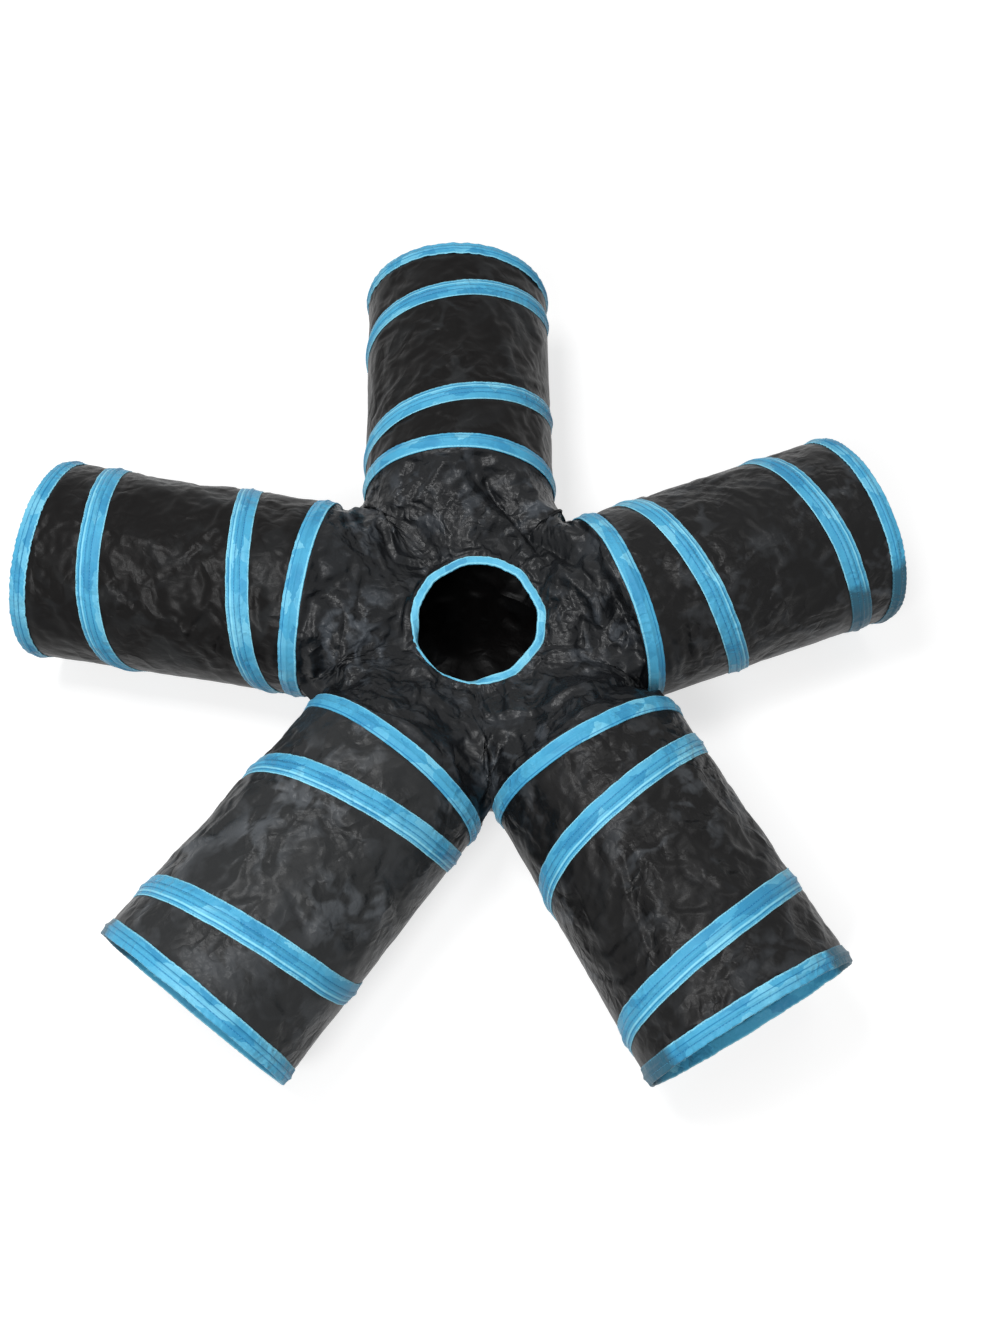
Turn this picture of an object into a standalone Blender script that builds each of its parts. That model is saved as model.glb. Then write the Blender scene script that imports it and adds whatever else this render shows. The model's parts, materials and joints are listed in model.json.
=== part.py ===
"""Five-way pop-up cat tunnel: five spring-wire fabric tubes sewn to a soft hub with a peephole.

Metres, +Z up. The origin is the middle of the hub on the floor, and the back arm points nearly along
+Y. Every arm is modelled along its own +X, from its hub ring outwards, and then stood in its place.
Angles round a tube start at its +Y side and run over the top. Offsets are measured outwards from
the outer face of the sleeve's fabric.
"""

import math
from dataclasses import dataclass

import bmesh
import bpy
import numpy as np
from mathutils import Matrix, Vector

# Spring rings, measured over their tape
RING_DIAMETER = 0.250  # a ring pulled round
HUB_RING_WIDTH = 0.258  # the same ring standing at the hub, sagged a little wide
MOUTH_RING_WIDTH = 0.265  # and at the free mouth, where nothing else holds it up

# Arms
ARM_LENGTH = 0.334  # from the wire of the hub ring to the wire of the mouth ring
COIL_CLIMB = (0.0, 0.127, 0.231, 0.340, 0.507, 0.686, 0.774, 0.861, 1.0)
# share of the arm's length that the wire has climbed at each quarter turn, from the underside
SLEEVE_WAIST = 0.004  # how far the fabric draws in at the middle of its widest panel
TIP_LAP = 18.0  # degrees by which each closed end turn of the wire stops short

# Fabric, wire and tape
FABRIC_THICKNESS = 0.0010
WIRE_DIAMETER = 0.0020
TAPE_THICKNESS = 0.0007
COIL_TAPE_WIDTH = 0.028
HUB_TAPE_HUB_SIDE = 0.012  # the hub ring's tape, on the hub's side of its wire
HUB_TAPE_ARM_SIDE = 0.010  # and on the arm's side
MOUTH_TAPE_WIDTH = 0.020
MOUTH_TAPE_TURN_IN = 0.015  # how far the mouth tape runs back inside the tube
HUB_TUCK = 0.001  # how far the hub's fabric runs past the edge of its rings' tapes

# Hub
PEEPHOLE_DIAMETER = 0.144
PEEPHOLE_TAPE_WIDTH = 0.011
PEEPHOLE_CENTRE = (0.006, 0.006, 0.170)
PEEPHOLE_TILT = 10.0  # degrees, its front edge down
FLOOR_PATCH_DIAMETER = 0.290  # the part of the hub's floor that lies flat
FLOOR_SAG = 0.0015  # how far each stretch of the hub's floor drops below its neighbours

# Clearances between pieces that touch
GAP = 0.0003
HEM_GAP = 0.0006
PEEPHOLE_HEM_GAP = 0.0018  # more, because the panel's facets and the binding's do not line up

# Facets
TURN_COLUMNS = 20  # round a tube; a multiple of four keeps its top, sides and bottom exact
SLEEVE_ROWS = 10
TOP_ROWS = 4
FLOOR_ROWS = 3
PEEPHOLE_COLUMNS = 30
SHARP_ANGLE = 35.0  # degrees between faces, from which an edge is shaded sharp
RELAX_STEPS = 300
BISECTIONS = 40
SNAP = 1e-9  # share of a column within which a point counts as on it


@dataclass(frozen=True)
class Arm:
    """Where an arm's hub ring stands, seen from above, and which way the arm points.

    The standoff is how far the ring's middle lies outside the pentagon on whose sides five such
    rings would touch edge to edge.
    """

    bearing: float
    standoff: float
    heading: float


ARMS = {
    "right": Arm(bearing=17.8, standoff=0.0095, heading=23.4),
    "back": Arm(bearing=97.0, standoff=0.0495, heading=93.2),
    "left": Arm(bearing=164.8, standoff=0.0355, heading=171.9),
    "front_left": Arm(bearing=243.0, standoff=0.0225, heading=235.3),
    "front_right": Arm(bearing=312.2, standoff=0.0395, heading=301.0),
}

# Worked out from the sizes above
COLUMN_STEP = 360.0 / TURN_COLUMNS
TENT_HEIGHT = GAP + WIRE_DIAMETER + 2.0 * GAP  # inside of a tape, over its wire
TAPE_STACK = TENT_HEIGHT + TAPE_THICKNESS  # outside of a tape, over its wire
COIL_TURNS = (len(COIL_CLIMB) - 1) // 4
COIL_END = 360.0 * COIL_TURNS
MOUTH_TAPE_REACH = MOUTH_TAPE_WIDTH / 2.0
SLEEVE_HEM = ARM_LENGTH + MOUTH_TAPE_REACH - TAPE_THICKNESS - HEM_GAP
COLLAR = HUB_TAPE_HUB_SIDE + HUB_TUCK  # hub fabric that lies under the hub ring's tape
PENTAGON_APOTHEM = HUB_RING_WIDTH / 2.0 / math.tan(math.pi / len(ARMS))


def clear_scene():
    """Remove whatever the opened file holds."""
    for thing in list(bpy.data.objects):
        bpy.data.objects.remove(thing, do_unlink=True)


def finish(name, colour, roughness, metallic=0.0):
    """Return a Principled material."""
    made = bpy.data.materials.new(name)
    made.use_nodes = True
    shader = made.node_tree.nodes["Principled BSDF"]
    shader.inputs["Base Color"].default_value = (*colour, 1.0)
    shader.inputs["Roughness"].default_value = roughness
    shader.inputs["Metallic"].default_value = metallic
    return made


def half_height(half_width):
    """Half height of a standing ring: its wire keeps its length, so it is lower when wider."""
    radius = RING_DIAMETER / 2.0
    return 2.0 * radius - half_width - 0.5 * (half_width - radius) ** 2 / radius


def column_point(station, angle, offset):
    """Point at one of the tube's columns, in the arm's own frame."""
    share = station / ARM_LENGTH
    half_width = (HUB_RING_WIDTH + share * (MOUTH_RING_WIDTH - HUB_RING_WIDTH)) / 2.0
    height = half_height(half_width)
    wide, high = half_width - TAPE_STACK, height - TAPE_STACK
    cosine, sine = math.cos(math.radians(angle)), math.sin(math.radians(angle))
    normal = Vector((0.0, cosine / wide, sine / high)).normalized()
    return Vector((station, wide * cosine, height + high * sine)) + offset * normal


def tube_point(station, angle, offset):
    """Point at any angle: between two columns it lies on the flat facet that joins them."""
    column = math.floor(angle / COLUMN_STEP + SNAP)
    share = angle / COLUMN_STEP - column
    start = column_point(station, column * COLUMN_STEP, offset)
    if share < SNAP:
        return start
    return start.lerp(column_point(station, (column + 1) * COLUMN_STEP, offset), share)


def climb(turned):
    """Station of the wire after it has turned so many degrees from the underside of its hub ring."""
    quarter = min(max(turned / 90.0, 0.0), len(COIL_CLIMB) - 1.0)
    index = min(int(quarter), len(COIL_CLIMB) - 2)
    share = quarter - index
    low, high = COIL_CLIMB[index], COIL_CLIMB[index + 1]
    before = COIL_CLIMB[index - 1] if index > 0 else 2.0 * low - high
    after = COIL_CLIMB[index + 2] if index + 2 < len(COIL_CLIMB) else 2.0 * high - low
    slope_low, slope_high = (high - before) / 2.0, (after - low) / 2.0
    blend = share * share * (3.0 - 2.0 * share)
    bend = share * (1.0 - share) * ((1.0 - share) * slope_low - share * slope_high)
    return ARM_LENGTH * (low + (high - low) * blend + bend)


def turned_at(station):
    """Degrees that the wire has turned where it climbs past a station."""
    low, high = 0.0, COIL_END
    for _ in range(BISECTIONS):
        middle = (low + high) / 2.0
        low, high = (middle, high) if climb(middle) < station else (low, middle)
    return high


def waist(station, angle):
    """How far the sleeve draws in between two neighbouring bands of tape."""
    turned = (angle + 90.0) % 360.0
    edges = [HUB_TAPE_ARM_SIDE]
    for turn in range(COIL_TURNS):
        centre = climb(turned + 360.0 * turn)
        edges += [centre - COIL_TAPE_WIDTH / 2.0, centre + COIL_TAPE_WIDTH / 2.0]
    edges.append(ARM_LENGTH - MOUTH_TAPE_REACH)
    widest = ARM_LENGTH * max(after - before for before, after in zip(COIL_CLIMB, COIL_CLIMB[4:]))
    for start, end in zip(edges[::2], edges[1::2]):
        if start < station < end:
            ease = math.sin(math.pi * (station - start) / (end - start)) ** 2
            return SLEEVE_WAIST * ease * min((end - start) / (widest - COIL_TAPE_WIDTH), 1.0)
    return 0.0


def skin(name, bm, surface):
    """Turn a closed bmesh into a mesh with its faces out, its creases sharp and one finish."""
    bmesh.ops.recalc_face_normals(bm, faces=bm.faces)
    mesh = bpy.data.meshes.new(name)
    bm.to_mesh(mesh)
    bm.free()
    mesh.shade_smooth()
    mesh.set_sharp_from_angle(angle=math.radians(SHARP_ANGLE))
    mesh.materials.append(surface)
    return mesh


def loft(name, sections, closed, surface):
    """Skin a row of matching section loops, joined end to start or capped at both ends."""
    bm = bmesh.new()
    loops = [[bm.verts.new(point) for point in section] for section in sections]
    following = loops[1:] + loops[:1] if closed else loops[1:]
    for here, there in zip(loops, following):
        for i, point in enumerate(here):
            j = (i + 1) % len(here)
            bm.faces.new((point, there[i], there[j], here[j]))
    if not closed:
        bm.faces.new(loops[0])
        bm.faces.new(loops[-1])
    return skin(name, bm, surface)


def thicken(name, outer, inner, faces, surface):
    """Close an open sheet: its outer face, its inner face and a wall along every free edge."""
    bm = bmesh.new()
    front = [bm.verts.new(point) for point in outer]
    back = [bm.verts.new(point) for point in inner]
    uses = {}
    for face in faces:
        bm.faces.new([front[i] for i in face])
        bm.faces.new([back[i] for i in reversed(face)])
        for i, j in zip(face, face[1:] + face[:1]):
            uses.setdefault(frozenset((i, j)), []).append((i, j))
    for edge in uses.values():
        if len(edge) == 1:
            i, j = edge[0]
            bm.faces.new((front[j], front[i], back[i], back[j]))
    return skin(name, bm, surface)


def sleeve_mesh(surface):
    """The arm's fabric tube, drawn in a little between its bands of tape."""
    last = ARM_LENGTH - MOUTH_TAPE_REACH
    stations = [GAP + row * (last - GAP) / SLEEVE_ROWS for row in range(SLEEVE_ROWS + 1)] + [SLEEVE_HEM]
    sections = []
    for column in range(TURN_COLUMNS):
        angle = column * COLUMN_STEP
        drawn = [waist(station, angle) for station in stations]
        outer = [column_point(s, angle, -d) for s, d in zip(stations, drawn)]
        inner = [column_point(s, angle, -d - FABRIC_THICKNESS) for s, d in zip(stations, drawn)]
        sections.append(outer + inner[::-1])
    return loft("sleeve", sections, True, surface)


def wire_path():
    """Points of the spring wire: a closed turn at the hub, the coil and a closed turn at the mouth."""
    points = []
    turned = -360.0 + TIP_LAP
    while turned < COIL_END + 360.0 - TIP_LAP + 1e-6:
        points.append(tube_point(climb(turned), turned - 90.0, GAP + WIRE_DIAMETER / 2.0))
        turned += COLUMN_STEP
    return points


def report_least_gap(points):
    """Print the least gap between two turns of the wire."""
    places = np.array(points)
    least = math.inf
    for i in range(len(places) - TURN_COLUMNS // 2):
        away = np.linalg.norm(places[i + TURN_COLUMNS // 2:] - places[i], axis=1).min()
        least = min(least, away - WIRE_DIAMETER)
    print("spring wire: least gap to itself %.1f mm" % (least * 1000.0))


def wire_curve(surface):
    """The spring wire as a bevelled curve."""
    points = wire_path()
    report_least_gap(points)
    curve = bpy.data.curves.new("spring_wire", "CURVE")
    curve.dimensions = "3D"
    spline = curve.splines.new("POLY")
    spline.points.add(len(points) - 1)
    for knot, point in zip(spline.points, points):
        knot.co = (*point, 1.0)
    curve.bevel_depth = WIRE_DIAMETER / 2.0
    curve.bevel_resolution = 0
    curve.use_fill_caps = True
    curve.materials.append(surface)
    return curve


def tent(start, crest, end, start_lift, end_lift):
    """Stations and inner offsets of a tape that is sewn down at its edges and tents over a wire."""
    return [(start, start_lift), (crest, TENT_HEIGHT), (end, end_lift)]


def tape_section(angle, inside):
    """Closed section of a tape of even thickness from its inner line."""
    outer = [tube_point(s, angle, offset + TAPE_THICKNESS) for s, offset in inside]
    inner = [tube_point(s, angle, offset) for s, offset in reversed(inside)]
    return outer + inner


def hub_tape_mesh(surface):
    """The tape over the seam of hub and sleeve, raised where the wire runs out from under it."""
    sections = []
    for column in range(TURN_COLUMNS):
        turned = column * COLUMN_STEP
        under = climb(turned - COLUMN_STEP) < HUB_TAPE_ARM_SIDE + WIRE_DIAMETER
        lift = TENT_HEIGHT if under else GAP
        inside = tent(-HUB_TAPE_HUB_SIDE, 0.0, HUB_TAPE_ARM_SIDE, GAP, lift)
        sections.append(tape_section(turned - 90.0, inside))
    return loft("hub_ring_tape", sections, True, surface)


def coil_tape_mesh(surface):
    """The tape that holds the coiled wire on the sleeve, trimmed against the two end tapes."""
    first = HUB_TAPE_ARM_SIDE + HEM_GAP
    last = ARM_LENGTH - MOUTH_TAPE_REACH - HEM_GAP
    start, end = turned_at(first + WIRE_DIAMETER / 2.0), turned_at(last - WIRE_DIAMETER / 2.0)
    between = [column * COLUMN_STEP for column in range(COIL_TURNS * TURN_COLUMNS)]
    stops = [start] + [turned for turned in between if start + 1.0 < turned < end - 1.0] + [end]
    slope = (TENT_HEIGHT - GAP) / (COIL_TAPE_WIDTH / 2.0)
    sections = []
    for turned in stops:
        crest = climb(turned)
        left = max(crest - COIL_TAPE_WIDTH / 2.0, first)
        right = min(crest + COIL_TAPE_WIDTH / 2.0, last)
        lifts = (TENT_HEIGHT - slope * (crest - left), TENT_HEIGHT - slope * (right - crest))
        sections.append(tape_section(turned - 90.0, tent(left, crest, right, *lifts)))
    return loft("coil_tape", sections, False, surface)


def mouth_binding_mesh(surface):
    """The tape folded over the sleeve's hem and the mouth's wire, in the mouth ring's own frame."""
    edge = MOUTH_TAPE_REACH
    inside_face = -FABRIC_THICKNESS - GAP
    turned_in = edge - MOUTH_TAPE_TURN_IN
    sections = []
    for column in range(TURN_COLUMNS):
        turned = COIL_END - 360.0 + (column + 1) * COLUMN_STEP
        over = climb(turned + COLUMN_STEP) > ARM_LENGTH - edge - WIRE_DIAMETER
        lift = TENT_HEIGHT if over else GAP
        profile = [
            (-edge, lift + TAPE_THICKNESS), (0.0, TAPE_STACK), (edge, GAP + TAPE_THICKNESS),
            (edge, inside_face - TAPE_THICKNESS), (turned_in, inside_face - TAPE_THICKNESS),
            (turned_in, inside_face), (edge - TAPE_THICKNESS, inside_face),
            (edge - TAPE_THICKNESS, GAP), (0.0, TENT_HEIGHT), (-edge, lift),
        ]
        points = [tube_point(ARM_LENGTH + s, turned - 90.0, offset) for s, offset in profile]
        sections.append([point - Vector((ARM_LENGTH, 0.0, 0.0)) for point in points])
    return loft("mouth_binding", sections, True, surface)


def ring_place(arm):
    """Matrix that stands an arm in its place: its hub ring's middle on the floor, its +X outwards."""
    distance = PENTAGON_APOTHEM + arm.standoff
    bearing = math.radians(arm.bearing)
    middle = Vector((distance * math.cos(bearing), distance * math.sin(bearing), 0.0))
    return Matrix.Translation(middle) @ Matrix.Rotation(math.radians(arm.heading), 4, "Z")


def hub_edge(side):
    """Columns of a hub panel's outer edge, anticlockwise: five half rings and the corners between.

    Each column holds the outer and inner points where the fabric slips under the ring's tape, then
    the outer and inner points at the ring's wire, which a corner does not have.
    """
    angles = [180.0 - side * column * COLUMN_STEP for column in range(TURN_COLUMNS // 2 + 1)]
    seam = Vector((0.0, 0.0, side * GAP / 2.0))
    halves = []
    for arm in ARMS.values():
        stand = ring_place(arm)
        half = []
        for angle in angles:
            points = [
                stand @ tube_point(station, angle, offset)
                for station in (-COLLAR, -GAP) for offset in (0.0, -FABRIC_THICKNESS)
            ]
            if angle in (angles[0], angles[-1]):
                points = [point + seam for point in points]
            half.append(points)
        halves.append(half)
    columns = []
    for half, following in zip(halves, halves[1:] + halves[:1]):
        columns += half
        corner = half[-1][0].lerp(following[0][0], 0.5)
        inwards = Vector((-corner.x, -corner.y, 0.0)).normalized()
        columns.append([corner, corner + inwards * FABRIC_THICKNESS, None, None])
    return columns


def relax(grid, fixed_rows, drop=0.0, floor=None):
    """Let the free rows of a closed grid of points settle like a stretched film."""
    for _ in range(RELAX_STEPS):
        beside = np.roll(grid, 1, 1) + np.roll(grid, -1, 1)
        settled = (beside + np.roll(grid, 1, 0) + np.roll(grid, -1, 0)) / 4.0
        settled[:, :, 2] -= drop
        if floor is not None:
            settled[:, :, 2] = np.maximum(settled[:, :, 2], floor)
        grid[fixed_rows:-1] = settled[fixed_rows:-1]
    return grid


def sheet_normals(points, faces):
    """Unit normals of an open sheet at its points."""
    normals = np.zeros_like(points)
    for face in faces:
        corners = points[list(face)]
        normal = np.cross(corners[2] - corners[0], corners[-1] - corners[1])
        for index in face:
            normals[index] += normal
    return normals / np.linalg.norm(normals, axis=1)[:, None]


def halved(points, quad):
    """Two triangles of a quad, cut along its shorter diagonal."""
    a, b, c, d = quad
    if np.linalg.norm(points[a] - points[c]) <= np.linalg.norm(points[b] - points[d]):
        return [[a, b, c], [a, c, d]]
    return [[a, b, d], [b, c, d]]


def panel_mesh(name, columns, inner_rows, inner_backs, free_rows, closed_middle, surface, **settle):
    """A hub panel: fixed inner rows, free rows, the edge at the rings' tapes and five collars.

    The inner rows run outwards, with one point for each column, and inner_backs holds the points
    of the sheet's other face there.
    """
    count = len(columns)
    rim = np.array([column[0] for column in columns])
    start = inner_rows[-1]
    shares = [(row + 1.0) / (free_rows + 1.0) for row in range(free_rows)]
    grid = np.array(inner_rows + [start + (rim - start) * share for share in shares] + [rim])
    grid = relax(grid, len(inner_rows), **settle)
    rows = len(grid)
    quads = []
    for row in range(rows - 1):
        for i in range(count):
            j = (i + 1) % count
            here, there = row * count, (row + 1) * count
            quads.append([here + i, there + i, there + j, here + j])
    points = list(grid.reshape(-1, 3))
    collars = {}
    for i, column in enumerate(columns):
        if column[2] is not None:
            collars[i] = len(points)
            points.append(np.array(column[2]))
    for i in range(count):
        j = (i + 1) % count
        if i in collars and j in collars:
            edge = (rows - 1) * count
            quads.append([edge + i, collars[i], collars[j], edge + j])
    points = np.array(points)
    faces = [list(range(count))] if closed_middle else []
    for quad in quads:
        faces += halved(points, quad)
    normals = sheet_normals(points, faces)
    towards_inside = np.sign(normals[0][2]) * np.sign(inner_backs[0][0][2] - points[0][2])
    backs = points + normals * FABRIC_THICKNESS * towards_inside
    for row, back in enumerate(inner_backs):
        backs[row * count:(row + 1) * count] = back
    for i, column in enumerate(columns):
        backs[(rows - 1) * count + i] = column[1]
        if i in collars:
            backs[collars[i]] = column[3]
    return thicken(name, points, backs, faces, surface)


def peephole_frame():
    """Matrix of the peephole: its centre, with +Z out of the hub and its front edge down."""
    return Matrix.Translation(PEEPHOLE_CENTRE) @ Matrix.Rotation(math.radians(PEEPHOLE_TILT), 4, "X")


def hub_top_mesh(surface):
    """The hub's top panel: flat round the peephole and slung between the five rings."""
    columns = hub_edge(1.0)
    frame = peephole_frame()
    centre = frame.translation
    hem = PEEPHOLE_DIAMETER / 2.0 + TAPE_THICKNESS + PEEPHOLE_HEM_GAP
    beyond = PEEPHOLE_DIAMETER / 2.0 + PEEPHOLE_TAPE_WIDTH + HEM_GAP
    rows, backs = [], []
    for radius in (hem, beyond):
        row, back = [], []
        for column in columns:
            bearing = math.atan2(column[0].y - centre.y, column[0].x - centre.x)
            local = Vector((radius * math.cos(bearing), radius * math.sin(bearing), 0.0))
            row.append(frame @ local)
            back.append(frame @ (local - Vector((0.0, 0.0, FABRIC_THICKNESS))))
        rows.append(np.array(row))
        backs.append(np.array(back))
    return panel_mesh("hub_top_panel", columns, rows, backs, TOP_ROWS, False, surface)


def hub_floor_mesh(surface):
    """The hub's floor panel: flat on the ground in the middle and sewn to the five rings."""
    columns = hub_edge(-1.0)
    row, back = [], []
    for column in columns:
        bearing = math.atan2(column[0].y, column[0].x)
        radius = FLOOR_PATCH_DIAMETER / 2.0
        row.append((radius * math.cos(bearing), radius * math.sin(bearing), 0.0))
        back.append((radius * math.cos(bearing), radius * math.sin(bearing), FABRIC_THICKNESS))
    return panel_mesh(
        "hub_floor_panel", columns, [np.array(row)], [np.array(back)], FLOOR_ROWS, True, surface,
        drop=FLOOR_SAG, floor=0.0,
    )


def peephole_binding_mesh(surface):
    """The narrow tape folded over the peephole's edge, in the peephole's own frame."""
    opening = PEEPHOLE_DIAMETER / 2.0
    outside = opening + PEEPHOLE_TAPE_WIDTH
    fold = opening + TAPE_THICKNESS
    under = -FABRIC_THICKNESS - GAP
    profile = [
        (outside, GAP), (outside, GAP + TAPE_THICKNESS), (fold, GAP + TAPE_THICKNESS), (opening, GAP),
        (opening, under), (fold, under - TAPE_THICKNESS), (outside, under - TAPE_THICKNESS),
        (outside, under), (fold, under), (fold, GAP),
    ]
    sections = []
    for column in range(PEEPHOLE_COLUMNS):
        bearing = 2.0 * math.pi * column / PEEPHOLE_COLUMNS
        sections.append([Vector((r * math.cos(bearing), r * math.sin(bearing), h)) for r, h in profile])
    return loft("peephole_binding", sections, True, surface)


def place(name, data, parent=None):
    """Put an object in the scene, or an empty if it has no data."""
    thing = bpy.data.objects.new(name, data)
    bpy.context.scene.collection.objects.link(thing)
    if parent is not None:
        thing.parent = parent
    return thing


def main():
    """Build the tunnel."""
    clear_scene()
    polyester = finish("black_polyester", (0.012, 0.011, 0.012), 0.45)
    tape = finish("blue_satin_tape", (0.075, 0.39, 0.67), 0.40)
    steel = finish("spring_steel", (0.55, 0.56, 0.58), 0.30, 1.0)

    place("hub_top_panel", hub_top_mesh(polyester))
    place("hub_floor_panel", hub_floor_mesh(polyester))
    place("peephole_binding", peephole_binding_mesh(tape)).matrix_world = peephole_frame()

    arm_data = {
        "sleeve": sleeve_mesh(polyester),
        "spring_wire": wire_curve(steel),
        "coil_tape": coil_tape_mesh(tape),
        "hub_ring_tape": hub_tape_mesh(tape),
    }
    binding = mouth_binding_mesh(tape)
    for name, arm in ARMS.items():
        swing = place(name + "_swing_axis", None)
        swing.matrix_world = ring_place(arm)
        for piece, data in arm_data.items():
            place(name + "_" + piece, data, swing)
        mouth = place(name + "_mouth_ring", None, swing)
        mouth.location = (ARM_LENGTH, 0.0, 0.0)
        place(name + "_mouth_binding", binding, mouth)


if __name__ == "__main__":
    main()
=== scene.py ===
"""Looks of the five-way pop-up cat tunnel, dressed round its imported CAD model.

Metres, +Z up, in the model's own frame: the hub's middle is the origin and the back arm points
nearly along +Y. Every arm is made along its own +X, from its hub ring outwards, and then stood in
its place. Angles round a tube start at its +Y side and run over the top. Offsets are measured
outwards from the outer face of the sleeve's fabric.
"""

import json
import logging
import math
from dataclasses import dataclass
from enum import Enum
from typing import Callable, Sequence

import bpy
import numpy as np
from mathutils import Matrix, Vector

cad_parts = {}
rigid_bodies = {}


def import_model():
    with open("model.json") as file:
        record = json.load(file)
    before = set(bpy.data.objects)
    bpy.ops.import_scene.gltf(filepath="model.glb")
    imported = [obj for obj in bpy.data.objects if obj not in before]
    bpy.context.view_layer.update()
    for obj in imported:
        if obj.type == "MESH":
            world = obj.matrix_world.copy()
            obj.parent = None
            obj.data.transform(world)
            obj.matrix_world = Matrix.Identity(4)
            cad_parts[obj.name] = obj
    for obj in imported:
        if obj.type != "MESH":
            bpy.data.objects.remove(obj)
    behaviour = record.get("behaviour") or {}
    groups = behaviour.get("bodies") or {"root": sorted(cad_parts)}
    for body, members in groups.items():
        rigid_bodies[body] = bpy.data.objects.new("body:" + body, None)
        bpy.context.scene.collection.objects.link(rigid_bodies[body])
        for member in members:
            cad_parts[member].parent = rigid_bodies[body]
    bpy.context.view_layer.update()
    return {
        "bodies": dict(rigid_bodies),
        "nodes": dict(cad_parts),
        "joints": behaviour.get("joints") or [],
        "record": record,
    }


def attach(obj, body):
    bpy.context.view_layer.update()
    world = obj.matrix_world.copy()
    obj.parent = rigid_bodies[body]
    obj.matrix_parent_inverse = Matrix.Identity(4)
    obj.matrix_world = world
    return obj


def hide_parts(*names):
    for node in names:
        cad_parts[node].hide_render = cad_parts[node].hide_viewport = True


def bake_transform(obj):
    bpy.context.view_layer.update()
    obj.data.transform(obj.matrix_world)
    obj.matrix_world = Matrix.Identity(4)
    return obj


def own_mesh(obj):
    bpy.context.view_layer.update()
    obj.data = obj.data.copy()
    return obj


LOG = logging.getLogger("cat_tunnel")

# Sizes and layout of the model, as its source names them
RING_DIAMETER = 0.250
HUB_RING_WIDTH = 0.258
MOUTH_RING_WIDTH = 0.265
ARM_LENGTH = 0.334
COIL_CLIMB = (0.0, 0.127, 0.231, 0.340, 0.507, 0.686, 0.774, 0.861, 1.0)
SLEEVE_WAIST = 0.0006
FABRIC_THICKNESS = 0.0010
WIRE_DIAMETER = 0.0020
TAPE_THICKNESS = 0.0007
COIL_TAPE_WIDTH = 0.028
HUB_TAPE_HUB_SIDE = 0.012
HUB_TAPE_ARM_SIDE = 0.010
MOUTH_TAPE_REACH = 0.010
PEEPHOLE_DIAMETER = 0.144
PEEPHOLE_TAPE_WIDTH = 0.011
PEEPHOLE_CENTRE = (0.006, 0.006, 0.170)
PEEPHOLE_TILT = 10.0
FLOOR_PATCH_DIAMETER = 0.290
GAP = 0.0003
TIP_LAP = 18.0
COIL_END = 720.0
TAPE_STACK = 0.0036  # outside of a tape over its wire, above the sleeve
SLEEVE_HEM = ARM_LENGTH + MOUTH_TAPE_REACH - 0.0013
MILLIMETRE = 0.001
# Near its ends a sleeve bulges less, so that it goes under the bands when the coil closes up
END_BULGE = 0.0014
MORE_BULGE = 0.0030
BULGING_PART = (0.070, 0.264)
# How deep the fabric lies where it goes under a neighbouring piece of the hub
LAP_DEPTH = 0.0015
STITCH_PITCH = 0.0040
STITCH_LENGTH = 0.0028
THREAD_WIDTH = 0.0006
# Layers of crinkles in the fabric: how many to a facet, height, and turn in radians
CRINKLE_LAYERS = ((0.55, 1.4, 0.0), (1.15, -0.9, 0.9), (2.4, 0.36, 1.9), (5.2, -0.11, 2.6))

Array = np.ndarray


class Slot(Enum):
    """Material slots of the model's record."""

    POLYESTER = "black_polyester"
    TAPE = "blue_tape"
    STEEL = "spring_steel"


class Fabric(Enum):
    """Which copy of the polyester an arm wears; one copy has painted light and one painted shade in its
    colours.
    """

    CREASED = "creased"
    # Calmer creases, and colours painted darker as shade.
    CALM = "calm"
    # Colours painted lighter, as light falling on the arm.
    WORN = "worn"


class Side(Enum):
    """Which of the hub's two panels is meant; the value is the way its half rings curve."""

    TOP = 1.0
    FLOOR = -1.0


def smoothstep(value: Array | float) -> Array:
    """Ease from 0 to 1 with flat ends."""
    held = np.clip(value, 0.0, 1.0)
    return held * held * (3.0 - 2.0 * held)


def bell(distance: Array, width: float) -> Array:
    """Bell curve that is 1 at no distance and fades over the width."""
    return np.exp(-((distance / width) ** 2))


def along_line(points: Array) -> Array:
    """Distance of each point from the first, along the line through all of them."""
    return np.concatenate(([0.0], np.cumsum(np.linalg.norm(np.diff(points, axis=0), axis=1))))


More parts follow.
